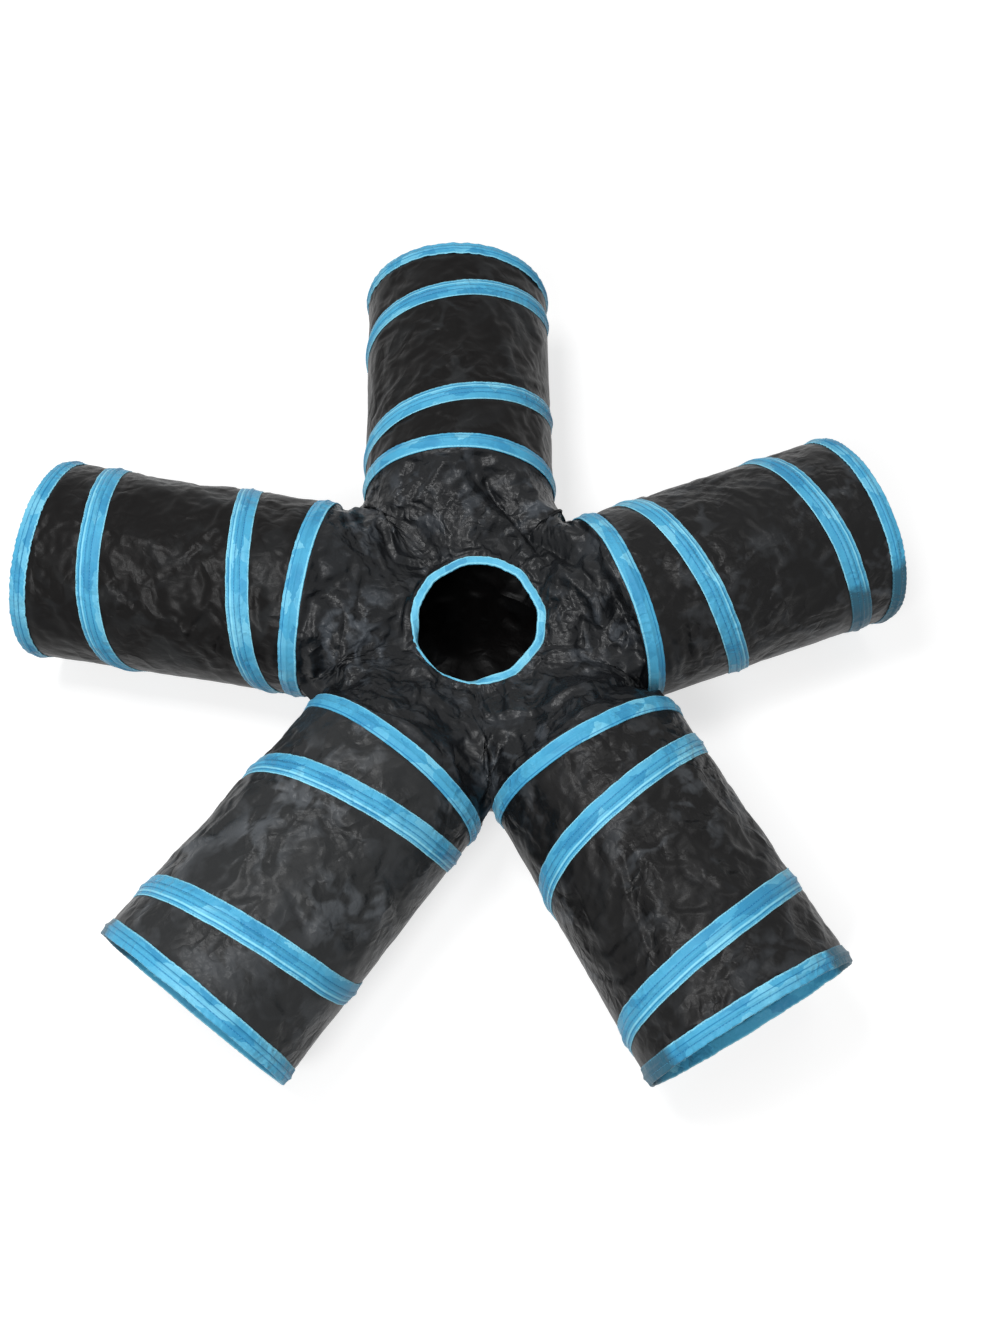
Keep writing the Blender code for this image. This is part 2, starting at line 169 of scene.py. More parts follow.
@dataclass(frozen=True)
class Crumple:
    """Flat facets of crumpled fabric, each tilted at random, that meet in folds.

    Attributes:
        size: usual size of a facet, in metres.
        slope: usual tilt of a facet.
        seed: start of the random draws.
        softness: how softly neighbouring facets run into each other.
    """

    size: float
    slope: float
    seed: int
    softness: float = 0.22

    def over(self, across: Array, along: Array) -> Array:
        """Heights over unrolled fabric.

        Args:
            across: places along one side of the fabric, in metres.
            along: places along its other side, in metres.

        Returns:
            Heights in metres, about zero on average.
        """
        draw = np.random.default_rng(self.seed)
        bends = draw.uniform(0.0, 2.0 * math.pi, 4)
        across, along = np.broadcast_arrays(across / self.size, along / self.size)
        swayed = across + 0.45 * np.sin(along * 0.9 + bends[0])
        along = along + 0.45 * np.sin(across * 0.8 + bends[1])
        across = swayed
        calm = 0.75 + 0.55 * np.sin(across * 0.55 + bends[2]) * np.sin(along * 0.65 + bends[3])
        column, row = np.floor(across).astype(int), np.floor(along).astype(int)
        across, along = across - column, along - row
        column, row = column - column.min() + 2, row - row.min() + 2
        count = (column.max() + 3, row.max() + 3)
        middles, tilts = draw.uniform(0.0, 1.0, (*count, 2)), draw.normal(0.0, self.slope, (*count, 2))
        squares, heights = [], []
        for step in np.ndindex(5, 5):
            place = (column + step[0] - 2, row + step[1] - 2)
            aside = across - step[0] + 2 - middles[place][..., 0]
            ahead = along - step[1] + 2 - middles[place][..., 1]
            squares.append(aside ** 2 + ahead ** 2)
            heights.append(aside * tilts[place][..., 0] + ahead * tilts[place][..., 1])
        squares = np.stack(squares)
        weights = np.exp((squares.min(0) - squares) / self.softness)
        return self.size * calm * (weights * np.stack(heights)).sum(0) / weights.sum(0)


@dataclass(frozen=True)
class Fold:
    """A sharp fold line, steep on its right, on the hub seen from above or on unrolled fabric.

    Attributes:
        line: its corners, in metres.
        depth: how deep it lies; below zero it stands up as a ridge.
        width: half width in metres.
    """

    line: tuple[tuple[float, float], ...]
    depth: float
    width: float = 0.006

    def over(self, places: Array) -> Array:
        """Heights that the fold adds to the fabric.

        Args:
            places: places whose last axis starts with the two that the line is given in.

        Returns:
            A height in metres for each place.
        """
        nearest = np.full(places.shape[:-1], np.inf)
        fade, side = np.zeros_like(nearest), np.zeros_like(nearest)
        corners = np.array(self.line)
        lengths = along_line(corners)
        for start, end, before, after in zip(corners, corners[1:], lengths, lengths[1:]):
            step = end - start
            share = np.clip(((places[..., :2] - start) @ step) / (step @ step), 0.0, 1.0)
            gap = places[..., :2] - start - share[..., None] * step
            away = np.linalg.norm(gap, axis=-1)
            along = (before + share * (after - before)) / lengths[-1]
            closer = away < nearest
            fade = np.where(closer, smoothstep(along / 0.15) * smoothstep((1.0 - along) / 0.15), fade)
            leftwards = (step[0] * gap[..., 1] - step[1] * gap[..., 0]) / np.linalg.norm(step)
            side = np.where(closer, leftwards, side)
            nearest = np.where(closer, away, nearest)
        wide = self.width * (1.5 + 0.8 * np.tanh(side / (0.5 * self.width)))
        shoulder = 0.30 * bell(nearest - 2.4 * wide, wide)
        return self.depth * fade * (shoulder - np.exp(-nearest / wide))


@dataclass(frozen=True)
class Tube:
    """Shape of every arm: two standing rings and a wire that coils from one to the other."""

    hub_width: float = HUB_RING_WIDTH
    mouth_width: float = MOUTH_RING_WIDTH
    length: float = ARM_LENGTH

    def point(self, station: Array | float, angle: Array | float, offset: Array | float) -> Array:
        """Points on or off the tube.

        Args:
            station: distance along the arm from its hub ring's wire.
            angle: degrees round the tube.
            offset: height above the sleeve's outer face.

        Returns:
            Places in the arm's frame, with a last axis of three.
        """
        share = np.asarray(station, float) / self.length
        half_width = (self.hub_width + share * (self.mouth_width - self.hub_width)) / 2.0
        radius = RING_DIAMETER / 2.0
        height = 2.0 * radius - half_width - 0.5 * (half_width - radius) ** 2 / radius
        wide, high = half_width - TAPE_STACK, height - TAPE_STACK
        cosine, sine = np.cos(np.radians(angle)), np.sin(np.radians(angle))
        sideways, upwards = cosine / wide, sine / high
        size = np.hypot(sideways, upwards)
        aside = wide * cosine + offset * sideways / size
        above = height + high * sine + offset * upwards / size
        return np.stack(np.broadcast_arrays(station, aside, above), -1)

    def climb(self, turned: Array | float) -> Array:
        """How far the coiled wire has climbed along the arm.

        Args:
            turned: degrees that it has turned from under its hub ring.

        Returns:
            Its station at each of them.
        """
        table = np.array(COIL_CLIMB)
        table = np.concatenate(([2.0 * table[0] - table[1]], table, [2.0 * table[-1] - table[-2]]))
        quarter = np.clip(np.asarray(turned, float) / 90.0, 0.0, len(COIL_CLIMB) - 1.0)
        index = np.minimum(quarter.astype(int), len(COIL_CLIMB) - 2)
        share = quarter - index
        before, low, high, after = (table[index + step] for step in range(4))
        slope_low, slope_high = (high - before) / 2.0, (after - low) / 2.0
        blend = share * share * (3.0 - 2.0 * share)
        bend = share * (1.0 - share) * ((1.0 - share) * slope_low - share * slope_high)
        return self.length * (low + (high - low) * blend + bend)

    def turned_at(self, station: float) -> float:
        """Degrees that the wire has turned where it passes a station.

        Args:
            station: distance along the arm.

        Returns:
            The degrees, in steps of a tenth.
        """
        tenths = round(10.0 * COIL_END)
        turned = np.linspace(0.0, COIL_END, tenths + 1)
        return float(turned[int(np.searchsorted(self.climb(turned), station))])

    def band_edges(self, angle: Array) -> Array:
        """Stations of the edges of every tape at some angles, from the hub ring to the mouth.

        Args:
            angle: degrees round the tube.

        Returns:
            Six stations for each angle: end and start of the tapes on both sides of three panels.
        """
        turned = (angle + 90.0) % 360.0
        first, second = self.climb(turned), self.climb(turned + 360.0)
        half = COIL_TAPE_WIDTH / 2.0
        near = np.full_like(first, HUB_TAPE_ARM_SIDE)
        far = np.full_like(first, self.length - MOUTH_TAPE_REACH)
        return np.stack((near, first - half, first + half, second - half, second + half, far), -1)

    def between_bands(self, station: Array, angle: Array) -> tuple[Array, Array]:
        """How far into a bare panel of the sleeve each place lies.

        Args:
            station: places along the arm.
            angle: degrees round it.

        Returns:
            The share across its panel, from 0 to 1, or 0 under a tape, and the panel's width.
        """
        edges = self.band_edges(angle)
        share, width = np.zeros(station.shape), np.zeros(station.shape)
        for panel in range(3):
            start, end = edges[..., 2 * panel], edges[..., 2 * panel + 1]
            inside = (station > start) & (station < end)
            room = np.maximum(end - start, MILLIMETRE)
            share = np.where(inside, (station - start) / room, share)
            width = np.where(inside, room, width)
        return share, width

    def waist(self, station: Array, angle: Array) -> Array:
        """How far the sleeve draws in between two neighbouring bands of tape.

        Args:
            station: places along the arm.
            angle: degrees round it.

        Returns:
            A depth in metres for each place.
        """
        share, width = self.between_bands(station, angle)
        widest = self.length * max(after - before for before, after in zip(COIL_CLIMB, COIL_CLIMB[4:]))
        room = np.minimum(width / (widest - COIL_TAPE_WIDTH), 1.0)
        return SLEEVE_WAIST * np.sin(np.pi * share) ** 2 * room


TUBE = Tube()


def arm_fold(line: Sequence[tuple[float, float]], depth: float, width: float = 0.0035) -> Fold:
    """Lay a fold on a sleeve.

    Args:
        line: its corners, as (place along the arm in metres, angle round it in degrees).
        depth: how deep it lies, in metres.
        width: half width in metres.

    Returns:
        The fold on the unrolled fabric.
    """
    corners = tuple((math.radians(angle) * RING_DIAMETER / 2.0, station) for station, angle in line)
    return Fold(corners, depth, width)


def stitch_mesh(rows: Sequence[tuple[Array, Array, float]]) -> bpy.types.Mesh:
    """Raised stitches along rows round a tube.

    Args:
        rows: for each row the degrees turned from the underside, the stations and the height.

    Returns:
        A mesh of short pointed stitches in the arm's frame.
    """
    points, faces = [], []
    for turned, station, lift in rows:
        middle, above = (TUBE.point(station, turned - 90.0, lift + more) for more in (0.0, MILLIMETRE))
        run = along_line(middle)
        starts = np.arange(STITCH_PITCH / 2.0, run[-1] - STITCH_PITCH, STITCH_PITCH)

        def at(where: Array, line: Array) -> Array:
            """Places along a line at some distances."""
            return np.stack([np.interp(where, run, line[:, axis]) for axis in range(3)], -1)

        start, end = at(starts, middle), at(starts + STITCH_LENGTH, middle)
        centre = at(starts + STITCH_LENGTH / 2.0, middle)
        up = (at(starts + STITCH_LENGTH / 2.0, above) - centre) / MILLIMETRE
        side = np.cross(end - start, up)
        side *= 0.5 * THREAD_WIDTH / np.linalg.norm(side, axis=1, keepdims=True)
        quint = np.stack((start, end, centre + side, centre - side, centre + up * THREAD_WIDTH * 0.7), 1)
        base = len(points) * 5 + np.arange(len(quint))[:, None, None] * 5
        faces.append((base + np.array(((0, 2, 4), (2, 1, 4), (1, 3, 4), (3, 0, 4)))).reshape(-1, 3))
        points.extend(quint)
    mesh = bpy.data.meshes.new("stitches")
    mesh.from_pydata(np.concatenate(points).tolist(), [], np.concatenate(faces).tolist())
    mesh.shade_smooth()
    return mesh


def grid_mesh(name: str, grid: Array, round_rows: bool = False, round_columns: bool = False,
              uv: Array | None = None) -> bpy.types.Mesh:
    """Skin a grid of points.

    Args:
        name: the mesh's name.
        grid: places, rows by columns by three.
        round_rows: join the last row to the first.
        round_columns: join the last column to the first.
        uv: flat places in metres, rows by columns by two; a joined row or column gets one more.

    Returns:
        A smooth mesh.
    """
    rows, columns = grid.shape[:2]
    row, column = np.meshgrid(
        np.arange(rows if round_rows else rows - 1), np.arange(columns if round_columns else columns - 1),
        indexing="ij",
    )
    row, column = row.ravel(), column.ravel()
    next_row, next_column = row + 1, column + 1
    corners = np.stack((
        (row % rows) * columns + column % columns,
        (next_row % rows) * columns + column % columns,
        (next_row % rows) * columns + next_column % columns,
        (row % rows) * columns + next_column % columns,
    ), -1)
    mesh = bpy.data.meshes.new(name)
    mesh.from_pydata(grid.reshape(-1, 3).tolist(), [], corners.tolist())
    if uv is not None:
        layer = mesh.uv_layers.new(name="fabric")
        turns = ((row, column), (next_row, column), (next_row, next_column), (row, next_column))
        places = np.stack([uv[turn] for turn in turns], 1)
        layer.data.foreach_set("uv", places.reshape(-1).astype(np.float32))
    mesh.shade_smooth()
    return mesh


def put(name: str, mesh: bpy.types.Mesh, stand: Matrix | None = None) -> bpy.types.Object:
    """Put a mesh in the scene.

    Args:
        name: the piece's name.
        mesh: its mesh.
        stand: where the mesh's own frame stands; it is worked into the mesh.

    Returns:
        The object, at the origin.
    """
    if stand is not None:
        mesh.transform(stand)
    thing = bpy.data.objects.new(name, mesh)
    bpy.context.scene.collection.objects.link(thing)
    return thing


def circle(radius: float, bearing: Array, height: float = 0.0) -> Array:
    """Places on a level circle about the origin."""
    level = np.full_like(bearing, height)
    return np.stack((radius * np.cos(bearing), radius * np.sin(bearing), level), -1)


def places_of(mesh: bpy.types.Mesh) -> Array:
    """Read the places of a mesh's points.

    Args:
        mesh: the mesh.

    Returns:
        One row of three for each point.
    """
    flat = np.empty(len(mesh.vertices) * 3)
    mesh.vertices.foreach_get("co", flat)
    return flat.reshape(-1, 3)


def move_points(mesh: bpy.types.Mesh, places: Array) -> None:
    """Set the places of a mesh's points."""
    mesh.vertices.foreach_set("co", np.asarray(places, np.float32).ravel())
    mesh.update()


def doubled(field: Array, axis: int, ends_meet: bool) -> Array:
    """Insert a smooth value between every two neighbours of a grid.

    Args:
        field: values on a grid.
        axis: the axis to refine.
        ends_meet: whether the last value is followed by the first.

    Returns:
        Twice as many values along the axis, or one fewer where the ends do not meet.
    """
    field = np.moveaxis(field, axis, 0)
    if ends_meet:
        before, after, beyond = (np.roll(field, shift, 0) for shift in (1, -1, -2))
        here = field
    else:
        padded = np.concatenate((2.0 * field[:1] - field[1:2], field, 2.0 * field[-1:] - field[-2:-1]))
        before, here, after, beyond = (padded[step:len(field) - 1 + step] for step in range(4))
    between = (9.0 * (here + after) - before - beyond) / 16.0
    finer = np.empty((len(field) + len(between),) + field.shape[1:])
    finer[::2], finer[1::2] = field, between
    return np.moveaxis(finer, 0, axis)


@dataclass(frozen=True)
class Settle:
    """A short cloth simulation that lets spare fabric buckle between what holds it.

    Attributes:
        spare: how much longer the cloth is than its path, as a share.
        frames: steps of the simulation.
        bending: stiffness against folding.
        weight: mass of a point, which gravity pulls, in kilograms.
        reach: the farthest a point may end from where it started, in metres.
    """

    spare: float
    frames: int
    bending: float
    weight: float
    reach: float

    def run(self, name: str, grid: Array, held: Array) -> Array:
        """Simulate every other point of a cloth whose columns run round and meet.

        Args:
            name: what the log calls the cloth.
            grid: places, rows by columns by three, with an odd number of rows.
            held: true for each point that stays where it is.

        Returns:
            The places after the simulation.
        """
        start = grid[::2, ::2]
        piece = put("settling_cloth", grid_mesh("settling_cloth", start, round_columns=True))
        group = piece.vertex_groups.new(name="held")
        group.add(np.flatnonzero(held[::2, ::2].ravel()).tolist(), 1.0, "REPLACE")
        cloth = piece.modifiers.new("settle", "CLOTH")
        settings = cloth.settings
        settings.quality = 6
        settings.mass = self.weight
        settings.air_damping = 1.0
        settings.tension_stiffness = settings.compression_stiffness = 20.0
        settings.shear_stiffness = 8.0
        settings.bending_stiffness = self.bending
        settings.vertex_group_mass = group.name
        settings.shrink_min = settings.shrink_max = -self.spare
        cloth.collision_settings.use_collision = False
        cloth.collision_settings.use_self_collision = False
        cloth.point_cache.frame_end = self.frames
        scene = bpy.context.scene
        for frame in range(1, self.frames + 1):
            scene.frame_set(frame)
        shaped = piece.evaluated_get(bpy.context.evaluated_depsgraph_get())
        moved = places_of(shaped.data).reshape(start.shape) - start
        bpy.data.objects.remove(piece)
        scene.frame_set(1)
        size = np.linalg.norm(moved, axis=-1, keepdims=True)
        LOG.info("%s settled by %.1f mm, at most %.1f mm", name, 1000.0 * size.mean(), 1000.0 * size.max())
        moved *= self.reach * np.tanh(size / self.reach) / np.maximum(size, 1e-9)
        return grid + doubled(doubled(moved, 0, False), 1, True)


def normals_of(grid: Array) -> Array:
    """Unit normals of a grid whose columns run round and meet.

    Args:
        grid: places, rows by columns by three.

    Returns:
        A normal for each place.
    """
    down = np.gradient(grid, axis=0)
    across = (np.roll(grid, -1, 1) - np.roll(grid, 1, 1)) / 2.0
    normal = np.cross(down, across)
    return normal / np.maximum(np.linalg.norm(normal, axis=-1, keepdims=True), 1e-12)


class Wiring:
    """Adds nodes to a material or a group and joins them up."""

    def __init__(self, tree: bpy.types.NodeTree) -> None:
        """Work on this tree."""
        self.tree = tree

    def add(self, kind: str, **settings: object) -> bpy.types.Node:
        """Add a node.

        Args:
            kind: the node's type, without its ShaderNode part.
            settings: properties; a dict named sockets sets or joins its inputs.

        Returns:
            The node.
        """
        node = self.tree.nodes.new("ShaderNode" + kind)
        sockets = settings.pop("sockets", {})
        for name, value in settings.items():
            setattr(node, name, value)
        self.feed(node, sockets)
        return node

    def feed(self, node: bpy.types.Node, sockets: dict[str | int, object]) -> None:
        """Fill a node's inputs.

        Args:
            node: the node.
            sockets: for each input the socket that is joined to it, or its plain value.
        """
        for socket, value in sockets.items():
            if isinstance(value, bpy.types.NodeSocket):
                self.tree.links.new(value, node.inputs[socket])
            else:
                node.inputs[socket].default_value = value

    def maths(self, operation: str, *values: object, clamp: bool = False) -> bpy.types.NodeSocket:
        """Add a Math node.

        Args:
            operation: what it does.
            values: its inputs, each a socket or a number.
            clamp: whether the result is held between 0 and 1.

        Returns:
            Its result.
        """
        node = self.add("Math", sockets=dict(enumerate(values)))
        node.operation = operation
        node.use_clamp = clamp
        return node.outputs[0]

    def mix(self, share: object, first: object, second: object) -> bpy.types.NodeSocket:
        """Mix two colours.

        Args:
            share: how much there is of the second.
            first: a socket or three numbers.
            second: a socket or three numbers.

        Returns:
            The mixed colour.
        """
        first, second = (
            colour if isinstance(colour, bpy.types.NodeSocket) else (*colour, 1.0)
            for colour in (first, second)
        )
        return self.add("Mix", data_type="RGBA", sockets={0: share, 6: first, 7: second}).outputs[2]

    def ramp(self, value: object, low: float, high: float, start: float = 0.0,
             end: float = 1.0) -> bpy.types.NodeSocket:
        """Result of mapping low..high to start..end, held at the ends."""
        sockets = {0: value, 1: low, 2: high, 3: start, 4: end}
        return self.add("MapRange", sockets=sockets, clamp=True).outputs[0]

    def bump(self, height: bpy.types.NodeSocket, distance: float) -> bpy.types.NodeSocket:
        """Normals of a surface that is raised by a height, so many metres for a height of 1."""
        sockets = {"Strength": 1.0, "Distance": distance, "Height": height}
        return self.add("Bump", sockets=sockets).outputs[0]

    def noise(self, place: bpy.types.NodeSocket, scale: object, detail: float,
              distortion: float = 0.0) -> bpy.types.Node:
        """Add a soft random pattern.

        Args:
            place: where it is looked up.
            scale: patches to a metre.
            detail: how many finer layers lie in it.
            distortion: how much it is pushed about by itself.

        Returns:
            The node.
        """
        return self.add("TexNoise", sockets={
            "Vector": place, "Scale": scale, "Detail": detail, "Distortion": distortion,
        })

    def stretch(self, place: bpy.types.NodeSocket,
                factors: tuple[float, float, float]) -> bpy.types.NodeSocket:
        """A place multiplied by one factor along each axis."""
        return self.add("VectorMath", operation="MULTIPLY", sockets={0: place, 1: factors}).outputs[0]


def new_group(name: str, inputs: dict[str, float],
              outputs: Sequence[str]) -> tuple[bpy.types.NodeTree, Wiring]:
    """Start a shader node group.

    Args:
        name: its name.
        inputs: its numbers and what they are by default; the name Place makes a vector.
        outputs: names of its numbers.

    Returns:
        The group and its wiring.
    """
    group = bpy.data.node_groups.new(name, "ShaderNodeTree")
    group.interface.new_socket("Place", in_out="INPUT", socket_type="NodeSocketVector")
    for label, value in inputs.items():
        socket = group.interface.new_socket(label, in_out="INPUT", socket_type="NodeSocketFloat")
        socket.default_value = value
    for label in outputs:
        group.interface.new_socket(label, in_out="OUTPUT", socket_type="NodeSocketFloat")
    return group, Wiring(group)


class Effects:
    """The node groups that more than one material uses, each built once."""

    def __init__(self) -> None:
        """Build the groups."""
        self.crinkle = self.build_crinkle()
        self.threads = self.build_threads()

    def build_crinkle(self) -> bpy.types.NodeTree:
        """Pillows of crumpled fabric between sharp folds.

        Facet is their size and Share how much the crumpled patches stand out. Height is in facets,
        and Shine is 1 on the facets that catch the light.

        Returns:
            The group.
        """
        group, wires = new_group("crinkled_fabric", {"Facet": 0.02, "Share": 0.6}, ("Height", "Shine"))
        given = group.nodes.new("NodeGroupInput")
        result = group.nodes.new("NodeGroupOutput")
        scale = wires.maths("DIVIDE", 1.0, given.outputs["Facet"])
        place = given.outputs["Place"]
        total: object = 0.0
        for factor, weight, turn in CRINKLE_LAYERS:
            turned = wires.add("VectorRotate", rotation_type="AXIS_ANGLE", sockets={
                "Vector": place, "Axis": (0.6, 0.3, 0.74), "Angle": turn,
            })
            squeezed = wires.stretch(turned.outputs[0], (1.0, 0.62, 0.8))
            waves = wires.noise(squeezed, wires.maths("MULTIPLY", scale, factor), 0.0, 0.5)
            fold = wires.maths("ABSOLUTE", wires.maths("SUBTRACT", waves.outputs["Fac"], 0.5))
            total = wires.maths("MULTIPLY_ADD", fold, weight, total)
        patches = wires.noise(place, 13.0, 1.0)
        share = wires.ramp(patches.outputs["Fac"], 0.40, 0.60)
        share = wires.maths("MULTIPLY_ADD", share, given.outputs["Share"], 0.24)
        flecks = wires.noise(place, wires.maths("MULTIPLY", scale, 0.9), 2.2, 0.9)
        shine = wires.ramp(wires.maths("MULTIPLY_ADD", total, 0.7, flecks.outputs["Fac"]), 0.56, 0.74)
        wires.feed(result, {
            "Height": wires.maths("MULTIPLY", total, share),
            "Shine": wires.maths("MULTIPLY", shine, share, clamp=True),
        })
        return group

    def build_threads(self) -> bpy.types.NodeTree:
        """Fine threads of a weave, crossing at right angles; Pitch is the room that one takes.

        Returns:
            The group.
        """
        group, wires = new_group("fine_threads", {"Pitch": 0.0006, "Along": 0.3}, ("Height",))
        given = group.nodes.new("NodeGroupInput")
        result = group.nodes.new("NodeGroupOutput")
        split = wires.add("SeparateXYZ", sockets={0: given.outputs["Place"]})
        turn = wires.maths("DIVIDE", 2.0 * math.pi, given.outputs["Pitch"])
        first = wires.maths("SINE", wires.maths("MULTIPLY", split.outputs[0], turn))
        second = wires.maths("SINE", wires.maths("MULTIPLY", split.outputs[1], turn))
        along = wires.maths("MULTIPLY", first, given.outputs["Along"])
        wires.feed(result, {"Height": wires.maths("ADD", along, second)})
        return group


def new_material(name: str) -> tuple[bpy.types.Material, Wiring, bpy.types.Node]:
    """Start a material.

    Args:
        name: its name.

    Returns:
        The material, its wiring and its Principled shader.
    """
    made = bpy.data.materials.new(name)
    made.use_nodes = True
    return made, Wiring(made.node_tree), made.node_tree.nodes["Principled BSDF"]


@dataclass(frozen=True)
class CrinkledPolyester:
    """Thin near-black polyester whose crumpled facets catch the light.

    Attributes:
        colour: of its smooth parts.
        sheen_colour: painted highlight on the facets that catch the light.
        facet: usual size of a facet, in metres.
        slope: how steep the facets are.
        roughness: of its surface.
        gloss: strength of its shine, where 0.5 is usual.
    """

    colour: tuple[float, float, float] = (0.0055, 0.0054, 0.0056)
    sheen_colour: tuple[float, float, float] = (0.046, 0.050, 0.055)
    facet: float = 0.026
    slope: float = 0.28
    roughness: float = 0.36
    gloss: float = 0.15

    def material(self, name: str, effects: Effects) -> bpy.types.Material:
        """Build the material.

        Args:
            name: its name.
            effects: the shared node groups.

        Returns:
            The material.
        """
        made, wires, shader = new_material(name)
        place = wires.add("TexCoord").outputs["Object"]
        crinkle = wires.add("Group", node_tree=effects.crinkle, sockets={
            "Place": place, "Facet": self.facet, "Share": 0.75,
        })
        grain = wires.noise(place, 900.0, 2.0).outputs["Fac"]
        fade = wires.noise(place, 7.0, 3.0).outputs["Fac"]
        # Painted highlight: fold crests and flecks are lightened towards the highlight colour, in patches
        # that vary at random.
        painted_sheen = wires.maths("MULTIPLY", crinkle.outputs["Shine"], wires.ramp(fade, 0.38, 0.62, 0.30, 1.0))
        height = wires.maths("ADD", crinkle.outputs["Height"], wires.maths("MULTIPLY", grain, 0.006))
        wires.feed(shader, {
            "Base Color": wires.mix(painted_sheen, self.colour, self.sheen_colour),
            "Roughness": wires.ramp(grain, 0.3, 0.7, self.roughness - 0.05, self.roughness + 0.08),
            "Normal": wires.bump(height, self.facet * self.slope),
            "Specular IOR Level": self.gloss,
        })
        return made


@dataclass(frozen=True)
class SatinTape:
    """Sky-blue satin tape with fine lengthwise threads, soft blotches, pale edges, sewn grooves darkened
    with painted shade, and spots of painted shade.

    Attributes:
        edges: places across the tape where a thin pale line runs along an edge or fold.
        grooves: places across it where a seam presses it down, darkened there with painted shade.
        colour: of most of the tape.
        deep: of its darker blotches and threads.
        pale: of its lighter blotches and of the pale lines at its edges and folds.
        grey: colour of the painted shade in some spots of the tape.
        painted_shade_spots: middles of those spots of painted shade, in metres.
        roughness: of its surface.
    """

    edges: tuple[float, ...] = ()
    grooves: tuple[float, ...] = ()
    colour: tuple[float, float, float] = (0.078, 0.390, 0.615)
    deep: tuple[float, float, float] = (0.010, 0.160, 0.360)
    pale: tuple[float, float, float] = (0.300, 0.740, 0.900)
    grey: tuple[float, float, float] = (0.030, 0.100, 0.145)
    painted_shade_spots: tuple[tuple[float, float, float], ...] = ()
    roughness: float = 0.38

    def lines(self, wires: Wiring, across: bpy.types.NodeSocket, places: tuple[float, ...],
              width: float) -> bpy.types.NodeSocket | float:
        """Mask of thin lines along the tape.

        Args:
            wires: the material's wiring.
            across: the place across the tape.
            places: where the lines run.
            width: half width of a line.

        Returns:
            The mask, or 0 where there is no line.
        """
        mask: bpy.types.NodeSocket | float = 0.0
        for place in places:
            away = wires.maths("ABSOLUTE", wires.maths("SUBTRACT", across, place))
            mask = wires.maths("MAXIMUM", mask, wires.ramp(away, 0.25 * width, width, 1.0, 0.0))
        return mask

    def material(self, name: str, effects: Effects) -> bpy.types.Material:
        """Build the material.

        Args:
            name: its name.
            effects: the shared node groups.

        Returns:
            The material.
        """
        made, wires, shader = new_material(name)
        place = wires.add("TexCoord").outputs["Object"]
        flat = wires.add("UVMap", uv_map="fabric").outputs["UV"]
        across = wires.add("SeparateXYZ", sockets={0: flat}).outputs[1]
        drift = wires.noise(place, 80.0, 2.0)
        pushed = wires.add("VectorMath", operation="MULTIPLY_ADD", sockets={
            0: drift.outputs["Color"], 1: (0.024, 0.012, 0.0), 2: flat,
        }).outputs[0]
        facets = wires.add("TexVoronoi", voronoi_dimensions="2D", sockets={
            "Vector": wires.stretch(pushed, (30.0, 84.0, 1.0)), "Scale": 1.0,
        })
        chance = wires.add("SeparateXYZ", sockets={0: facets.outputs["Color"]}).outputs[0]
        clouds = wires.noise(place, 22.0, 1.0).outputs["Fac"]
        fibres = wires.noise(wires.stretch(flat, (60.0, 1500.0, 1.0)), 1.0, 2.0).outputs["Fac"]
        dark, bright = wires.ramp(chance, 0.70, 0.76), wires.ramp(chance, 0.34, 0.28)
        dark = wires.maths("MULTIPLY", dark, wires.ramp(clouds, 0.40, 0.58, 0.1, 0.45))
        bright = wires.maths("MULTIPLY", bright, wires.ramp(clouds, 0.60, 0.42, 0.1, 0.45))
        edge = wires.maths("MULTIPLY", self.lines(wires, across, self.edges, 0.0015), 0.75)
        # Painted shade: a dark line along each groove stands in for the shade that falls in it.
        groove_shade = wires.maths("MULTIPLY", self.lines(wires, across, self.grooves, 0.0009), 0.80)
        colour = self.colour
        for share, tint in (
            (dark, self.deep), (bright, self.pale),
            (wires.ramp(fibres, 0.55, 0.75, 0.0, 0.35), self.deep),
            (edge, self.pale), (groove_shade, self.deep),
        ):
            colour = wires.mix(share, colour, tint)
        # Painted shade: round each spot the colour darkens towards grey, standing in for shade on the
        # tape.
        painted_shade = 0.0
        for spot in self.painted_shade_spots:
            away = wires.add("VectorMath", operation="DISTANCE", sockets={0: place, 1: spot})
            away = wires.maths("MULTIPLY_ADD", drift.outputs["Fac"], 0.020, away.outputs["Value"])
            painted_shade = wires.maths("MAXIMUM", painted_shade, wires.ramp(away, 0.066, 0.078, 0.88, 0.0))
        if self.painted_shade_spots:
            colour = wires.mix(painted_shade, colour, self.grey)
        threads = wires.add("Group", node_tree=effects.threads, sockets={"Place": flat, "Pitch": 0.0009})
        crinkle = wires.add("Group", node_tree=effects.crinkle, sockets={"Place": place, "Facet": 0.013})
        fine = wires.maths("MULTIPLY", threads.outputs["Height"], 0.006)
        wires.feed(shader, {
            "Base Color": colour,
            "Roughness": wires.ramp(fibres, 0.3, 0.7, self.roughness - 0.04, self.roughness + 0.08),
            "Normal": wires.bump(wires.maths("ADD", fine, crinkle.outputs["Height"]), 0.0040),
            "Specular IOR Level": 0.12,
            "Sheen Weight": 0.04,
        })
        return made


@dataclass(frozen=True)
class SewingThread:
    """Twisted blue thread, a little paler than the tape."""

    colour: tuple[float, float, float] = (0.110, 0.470, 0.740)

    def material(self, name: str) -> bpy.types.Material:
        """Build the material.

        Args:
            name: its name.

        Returns:
            The material.
        """
        made, wires, shader = new_material(name)
        twist = wires.noise(wires.add("TexCoord").outputs["Object"], 1500.0, 1.0).outputs["Fac"]
        dark = tuple(0.55 * value for value in self.colour)
        colour = wires.mix(wires.ramp(twist, 0.3, 0.7), dark, self.colour)
        wires.feed(shader, {"Base Color": colour, "Roughness": 0.55})
        return made


